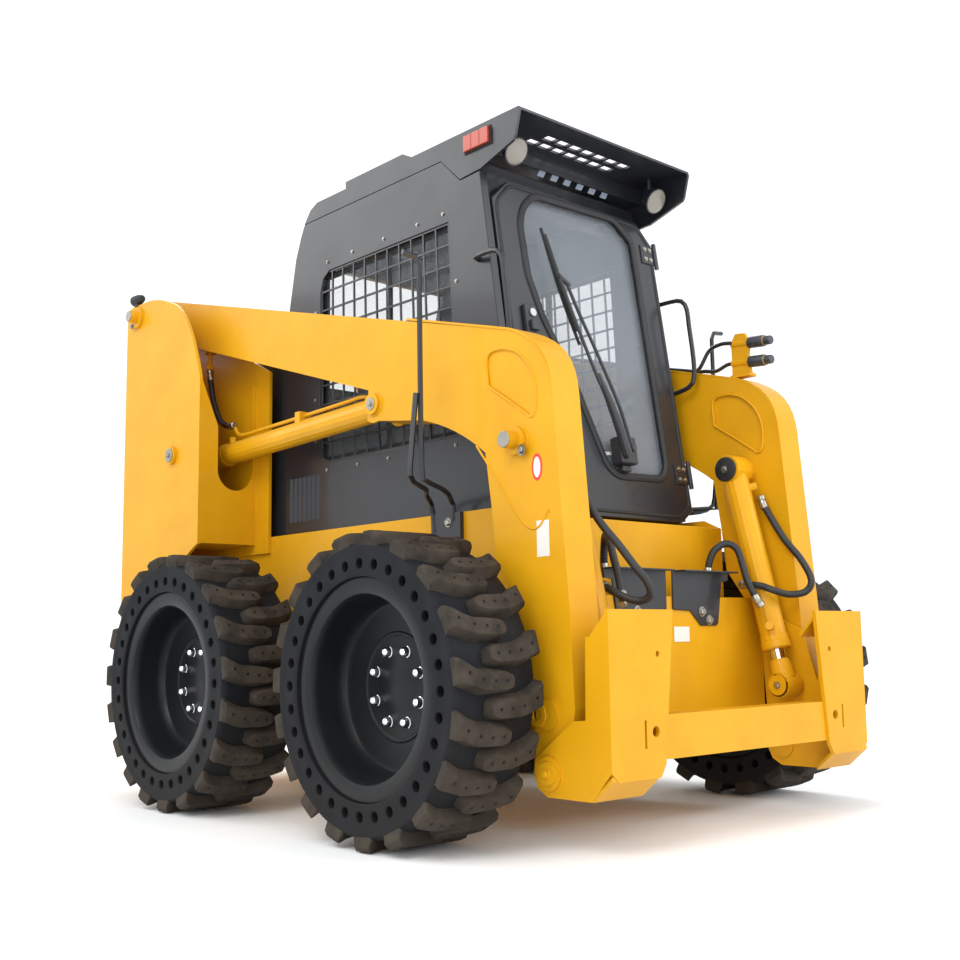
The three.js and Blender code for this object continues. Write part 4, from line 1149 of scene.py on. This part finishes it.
# ---------------------------------------------------------------- steelwork
@dataclass
class SteelDetails:
    """Bolts, pins, weld beads, louvres, lamps and blank labels on the steelwork."""

    def pins(self) -> None:
        """Makes the bright ends of the pins with their keeper bolts."""
        for name, side in SIDES:
            arm = [cross_pin(TILT_PIN, side * 572, side * 627, 23),
                   cross_pin(LIFT_PIN, side * 586, side * 592, 20)]
            publish(f"arm_pin_ends_{name}", together(arm), ZINC, "lift_arm", bevel=1.5)
            keepers = [side_bolt((838, 1047), side * 590, side, 22, 8),
                       side_bolt(LIFT_PIN, side * 592, side, 16, 6),
                       side_bolt(ARM_PIVOT, side * 581, side, 20, 8)]
            publish(f"arm_pin_bolts_{name}", together(keepers), ZINC, "lift_arm")
            heads = [cross_pin(ARM_PIVOT, side * 730, side * 736, 21),
                     cross_pin(LIFT_FOOT, side * 703, side * 709, 26)]
            publish(f"upright_pin_ends_{name}", together(heads), ZINC, "chassis", bevel=1.5)
            nuts = [side_bolt((-1262, 1800), side * 702, side, 18, 7),
                    side_bolt(LIFT_FOOT, side * 709, side, 16, 6)]
            publish(f"upright_pin_bolts_{name}", together(nuts), ZINC, "chassis")
            section = [(0, 362.5), (40, 362.5), (40, 357), (37, 355), (0, 355)]
            washer = revolve([(r, side * y) for r, y in section], (TILT_PIN[0], 0, TILT_PIN[1]), 32)
            publish(f"tilt_pin_washer_{name}", washer, SEAL, "lift_arm")
            head = side_bolt(TILT_PIN, side * 355, -side, 18, 4)
            publish(f"tilt_pin_bolt_{name}", head, ZINC, "lift_arm")

    def hitch_pins(self) -> None:
        """Makes the hitch's pivot caps, the tilt rod's pin caps and the two latch levers."""
        for name, side in SIDES:
            caps = cross_pin(HITCH_PIVOT, side * 592, side * 600, 30)
            caps += side_bolt(HITCH_PIVOT, side * 600, side, 20, 8)
            publish(f"hitch_pivot_cap_{name}", caps, YELLOW, "quick_hitch", bevel=1.5)
            pin = cross_pin(ROD_EYE, side * 446, side * 361, 18)
            cap = cross_pin(ROD_EYE, side * 362.4, side * 357, 31, 32)
            publish(f"tilt_rod_pin_{name}", pin + cap, YELLOW, "quick_hitch", bevel=1.5)
            head = side_bolt(ROD_EYE, side * 357, -side, 16, 6)
            publish(f"tilt_rod_pin_bolt_{name}", head, ZINC, "quick_hitch")
            y = side * 455
            handle = [(1090, y, 350), (1090, y, 420), (1086, side * 452, 500), (1078, side * 446, 560)]
            lever = bent_rod(handle, 8, 10)
            sleeve = rod_between((1090, y, 232), (1090, y, 352), 13, 18)
            publish(f"latch_lever_{name}", lever + sleeve, YELLOW, "quick_hitch")

    def front_bolts(self) -> None:
        """Makes the bolts of the hose brackets and of the white blank plate on the cross plate."""
        heads = []
        for _, side in SIDES:
            heads += [bolt_head((850, side * y, z), (1, 0, 0), 22, 9) for y, z in ((150, 617), (185, 591))]
        publish("hose_bracket_bolts", together(heads), ZINC, "lift_arm")
        plate = slab((844, 20, 527), (846, 92, 572))
        publish("blank_plate", plate, LABEL, "lift_arm", bevel=0.5)

    def bracket_folds(self) -> None:
        """Makes the folds along the top of the hose brackets and the bolts of the side rods' plates."""
        for name, side in SIDES:
            y0, y1 = span(side, 24, 286)
            fold = slab((850.5, y0, 735), (893, y1, 739.5))
            publish(f"hose_bracket_fold_{name}", fold, BLACK, "lift_arm", bevel=1)
            heads = [side_bolt(spot, side * 454, side, 20, 8) for spot in ((374, 895), (322, 810))]
            publish(f"rod_plate_bolts_{name}", together(heads), ZINC, "chassis")

    def cylinder_eyes(self) -> None:
        """Makes the painted eye and neck over each tilt rod's end, and the barrel's gland."""
        for name, side in SIDES:
            foot, pin = (np.array([x, side * TILT_LANE, z]) for x, z in (ROD_EYE, TILT_PIN))
            up = (pin - foot) / np.linalg.norm(pin - foot)
            neck = sweep(foot + np.array([20, 40, 66, 76, 80])[:, None] * up,
                         np.array([36, 35, 32, 29, 26]), 24)
            section = [(26, 363), (37, 363), (38.5, 366), (38.5, 440), (37, 443), (26, 443)]
            eye = revolve([(r, side * y) for r, y in section], (ROD_EYE[0], 0, ROD_EYE[1]), 32)
            publish(f"tilt_rod_eye_{name}", neck + eye, YELLOW, f"tilt_rod_{name}")
            gland = sweep(pin - np.array([566, 570, 590, 594])[:, None] * up, np.array([42, 46, 46, 42]), 32)
            publish(f"tilt_gland_{name}", gland, YELLOW, f"tilt_barrel_{name}")

    def leg_eyes(self) -> None:
        """Makes the open guard and the two rings on the back of each arm's leg."""
        hook = [(738, 666), (806, 674), (834, 545), (772, 510), (766, 524), (812, 553), (792, 657),
                (740, 650)]
        for name, side in SIDES:
            guard = prism(hook, *span(side, 512, 548), Axis.Y)
            publish(f"leg_guard_{name}", guard, YELLOW, "lift_arm", bevel=1.5)
            rings = []
            for x, z, outer, inner, far in ((834, 452, 30, 13, 560), (868, 347, 33, 16, 584)):
                y2, y3 = side * 536, side * far
                rings.append(revolve([(inner, y2), (outer, y2), (outer, y3), (inner, y3)], (x, 0, z), 24))
            publish(f"leg_rings_{name}", together(rings), YELLOW, "lift_arm", bevel=1.5)
            # A thin dark disc on the arm's face inside the lower ring's bore: painted shade of the hole.
            hole = cross_pin((868, 347), side * (ARM_FACE + 0.3), side * 576, 15.8)
            publish(f"leg_ring_hole_{name}", hole, SEAL, "lift_arm")

    def labels(self) -> None:
        """Makes the blank labels on both arms."""
        turn = np.linspace(0, 2 * np.pi, 32, endpoint=False)
        oval, inner = (np.stack([880 + wide * np.cos(turn), 997 + tall * np.sin(turn)], axis=1)
                       for wide, tall in ((20, 37), (13, 28)))
        for name, side in SIDES:
            film = span(side, ARM_FACE, ARM_FACE + 0.6)
            publish(f"arm_label_oval_{name}", prism(oval, *film, Axis.Y), RED_LABEL, "lift_arm")
            upper = prism(inner, *span(side, ARM_FACE + 0.6, ARM_FACE + 1.0), Axis.Y)
            publish(f"arm_label_oval_inner_{name}", upper, LABEL, "lift_arm")
            plain = slab((874, film[0], 757), (920, film[1], 853))
            publish(f"arm_label_plain_{name}", plain, LABEL, "lift_arm")

    def side_louvres(self) -> None:
        """Makes the upright louvres low on each cab side behind the window."""
        for name, side in SIDES:
            blades = []
            for k in range(7):
                x = -560 + 28 * k
                y = side * 408.0
                outline = [(x, y), (x + 16, y), (x + 4, y + side * 7)]
                blades.append(prism(outline if side > 0 else outline[::-1], 970, 1130, Axis.Z))
            publish(f"side_louvres_{name}", together(blades), BLACK, "chassis")

    def rear_door_louvres(self) -> None:
        """Makes the hooded louvres over the rear door's openings, its handle and its hinges."""
        hoods = []
        for k in range(5):
            z = 700 + 80 * k
            hood = [(-1391, z + 36), (-1396, z + 34), (-1396, z + 8), (-1394, z + 8)]
            hoods.append(prism(hood, -262, 262, Axis.Y))
        publish("rear_door_louvres", together(hoods), YELLOW, "rear_door")
        handle = slab((-1396, -392, 880), (-1391, -340, 960))
        publish("rear_door_handle", handle, PLASTIC, "rear_door", bevel=1.5)
        knuckles = [rod_between((-1345, 421, z - 40), (-1345, 421, z + 40), 7, 14) for z in (620, 1180)]
        publish("rear_door_hinges", together(knuckles), BLACK, "rear_door")

    def tail_lamps(self) -> None:
        """Makes a round red tail lamp in a black ring on each upright's rear face."""
        bezel = [(38, -1325), (38, -1333), (33, -1336), (31, -1333), (31, -1325)]
        dome = [(0, -1326), (31, -1326), (30, -1333), (20, -1337), (0, -1338)]
        for name, side in SIDES:
            middle = (0, side * 570.0, 1120)
            ring = revolve(bezel, middle, 32, Axis.X)
            publish(f"tail_lamp_ring_{name}", ring, SEAL, "chassis")
            lens = revolve(dome, middle, 32, Axis.X)
            publish(f"tail_lamp_lens_{name}", lens, MARKER_LENS, "chassis")

    def top_lamps(self) -> None:
        """Makes the small dark lamp on top of each upright."""
        for name, side in SIDES:
            y = side * 684
            stem = slab((-1260, y - 12, 1880), (-1236, y + 12, 1892))
            line = np.array([(x, y, 1908) for x in (-1282, -1276, -1240, -1216, -1212)])
            body = sweep(line, np.array([18, 22, 20, 14, 10]), 20)
            publish(f"upright_lamp_{name}", stem + body, SEAL, "chassis", bevel=1.0)

    def weld_beads(self) -> None:
        """Makes fillet weld beads where the arm's bosses and the hitch's plates are joined."""
        for name, side in SIDES:
            beads = []
            y = side * (ARM_FACE + 0.5)
            for (x, z), radius in ((TILT_PIN, 41), (LIFT_PIN, 35), (ARM_PIVOT, 56)):
                turn = np.linspace(0, 2 * np.pi, 49)
                ring = np.stack([x + radius * np.cos(turn), np.full(49, y), z + radius * np.sin(turn)], 1)
                beads.append(sweep(ring, 3.2 + 0.5 * np.sin(24 * turn), 8))
            corners = ((640, 1085), (720, 985), (800, 880), (845, 838), (885, 838), (920, 880))
            seam = smooth_path([(x, y, z) for x, z in corners], 8)
            beads.append(sweep(seam, 3.2, 8))
            publish(f"arm_weld_beads_{name}", together(beads), YELLOW, "lift_arm")
            line = np.linspace((1112, side * 579, 220), (1112, side * 579, 600), 30)
            publish(f"hitch_weld_beads_{name}", sweep(line, 4.0, 8), YELLOW, "quick_hitch")

    def lift_hose_ports(self) -> None:
        """Makes the short pipe that joins each lift hose to the underside of its arm."""
        for name, side in SIDES:
            x, y = -960, side * LIFT_LANE
            port = [rod_between((x, y, foot), (x, y, head), radius, sides) for foot, head, radius, sides in
                    ((1588, 1676, 9, 14), (1656, 1678, 20, 24), (1596, 1612, 14, 6))]
            publish(f"lift_hose_port_{name}", together(port), YELLOW, "lift_arm")

    def knee_pressings(self) -> None:
        """Makes the rounded swage round the pressed pocket at each arm's knee, on both faces."""
        corners = [(690, 1250), (689, 1334), (740, 1347), (792, 1335), (834, 1306), (866, 1265),
                   (882, 1212), (878, 1152), (858, 1137), (838, 1150), (770, 1196), (702, 1240)]
        for name, side in SIDES:
            rings = []
            for y in (573.0, 465.0):
                loop = smooth_path([(x, side * y, z) for x, z in [*corners, corners[0]]], 4)
                rings.append(sweep(loop, 4.5, 8))
            publish(f"knee_pressing_{name}", together(rings), YELLOW, "lift_arm")

    def arm_top_strip(self) -> None:
        """Makes the thin cap strip that runs along each arm's top edge and over the knee."""
        top = smooth_path([(330, 1517.0), (560, 1454.5), (740, 1406), (800, 1387), (860, 1352),
                           (905, 1300), (930, 1250), (942, 1190)], 6)
        step = np.gradient(top, axis=0)
        step /= np.linalg.norm(step, axis=1, keepdims=True)
        normal = np.stack([-step[:, 1], step[:, 0]], axis=1)
        count = len(top)
        height = np.interp(np.arange(count), [0, 0.45 * count, count - 1], [4.0, 4.0, 0.3])[:, None]
        outline = np.vstack([top - 3 * normal, (top + height * normal)[::-1]])
        for name, side in SIDES:
            strip = prism(outline, *span(side, 467, 577), Axis.Y)
            publish(f"arm_top_strip_{name}", strip, YELLOW, "lift_arm", bevel=1.0)

    def build(self) -> None:
        """Makes all the steelwork's details."""
        for make in (self.pins, self.hitch_pins, self.front_bolts, self.bracket_folds, self.cylinder_eyes,
                     self.leg_eyes, self.labels, self.side_louvres, self.rear_door_louvres, self.tail_lamps,
                     self.top_lamps, self.weld_beads, self.lift_hose_ports, self.knee_pressings,
                     self.arm_top_strip):
            make()


# ---------------------------------------------------------------- studio
@dataclass
class Studio:
    """The camera, the pale floor and the soft lights."""

    camera_mm: tuple[float, float, float] = (3144.8, -2829.42, 544.39)
    yaw_deg: float = 47.86
    pitch_deg: float = 7.49
    roll_deg: float = -0.83
    lens_mm: float = 45.29

    def camera(self) -> None:
        """Places the camera from its yaw, pitch and roll, looking slightly up from low down."""
        yaw, pitch, roll = (math.radians(v) for v in (self.yaw_deg, self.pitch_deg, self.roll_deg))
        ahead = Vector((-math.sin(yaw) * math.cos(pitch), math.cos(yaw) * math.cos(pitch), math.sin(pitch)))
        right = ahead.cross(Vector((0, 0, 1))).normalized()
        up = right.cross(ahead)
        cosine, sine = math.cos(roll), math.sin(roll)
        right, up = cosine * right + sine * up, -sine * right + cosine * up
        camera = bpy.data.objects.new("camera", bpy.data.cameras.new("camera"))
        bpy.context.scene.collection.objects.link(camera)
        camera.matrix_world = Matrix((
            (right.x, up.x, -ahead.x, (self.camera_mm[0] + FRAME_SHIFT) * MM),
            (right.y, up.y, -ahead.y, self.camera_mm[1] * MM),
            (right.z, up.z, -ahead.z, self.camera_mm[2] * MM),
            (0, 0, 0, 1),
        ))
        camera.data.lens = self.lens_mm
        camera.data.sensor_width = 36
        camera.data.clip_end = 200
        bpy.context.scene.camera = camera

    def floor(self) -> None:
        """Lays a wide pale floor."""
        mesh = bpy.data.meshes.new("floor")
        half = 60.0
        corners = [(-half, -half, 0), (half, -half, 0), (half, half, 0), (-half, half, 0)]
        mesh.from_pydata(corners, [], [(0, 1, 2, 3)])
        floor = bpy.data.objects.new("floor", mesh)
        bpy.context.scene.collection.objects.link(floor)
        material = bpy.data.materials.new("pale_floor")
        material.use_nodes = True
        shader = material.node_tree.nodes["Principled BSDF"]
        shader.inputs["Base Color"].default_value = linear("#f4f4f3")
        shader.inputs["Roughness"].default_value = 0.8
        mesh.materials.append(material)

    def lights(self) -> None:
        """Hangs a bright sky, a key on the right front, and softer lights round the machine and low down."""
        world = bpy.data.worlds.new("sky")
        bpy.context.scene.world = world
        world.use_nodes = True
        sky = world.node_tree.nodes["Background"]
        sky.inputs["Color"].default_value = (0.96, 0.98, 1.0, 1.0)
        sky.inputs["Strength"].default_value = 1.2
        bpy.context.scene.view_settings.view_transform = "Standard"
        for name, place_at, watts, size in (
            ("key", (3.0, -6.0, 6.5), 280, 4.0),
            ("fill", (6.5, 2.5, 4.0), 170, 4.0),
            ("back", (-5.0, 3.0, 6.0), 200, 4.0),
            ("side", (-8.0, -6.5, 7.4), 240, 5.5),
            ("bounce", (5.0, -5.0, 0.6), 120, 5.0),
        ):
            lamp = bpy.data.lights.new(name, "AREA")
            lamp.energy = watts
            lamp.size = size
            obj = bpy.data.objects.new(name, lamp)
            bpy.context.scene.collection.objects.link(obj)
            obj.location = place_at
            obj.rotation_euler = (Vector((0, 0, 0.9)) - Vector(place_at)).to_track_quat("-Z", "Y").to_euler()

    def build(self) -> None:
        """Sets up the whole studio."""
        self.camera()
        self.floor()
        self.lights()


def main() -> None:
    """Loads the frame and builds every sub-assembly round it."""
    logging.basicConfig(level=logging.INFO, format="%(message)s")
    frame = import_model()
    Studio().build()
    Hydraulics().build()
    slots = {part["node"]: part["material_slot"] for part in frame["record"]["subparts"]}
    CarriedSteel(frame["nodes"]).dress(slots)
    for name, hub_x, side in WHEELS:
        WheelRim(name, hub_x, side).build()
        SolidTyre(name, hub_x, side).build()
    for part in (CabWindows(), CabDoor(), CabFittings(), Seat(), SteelDetails()):
        part.build()


if __name__ == "__main__":
    main()
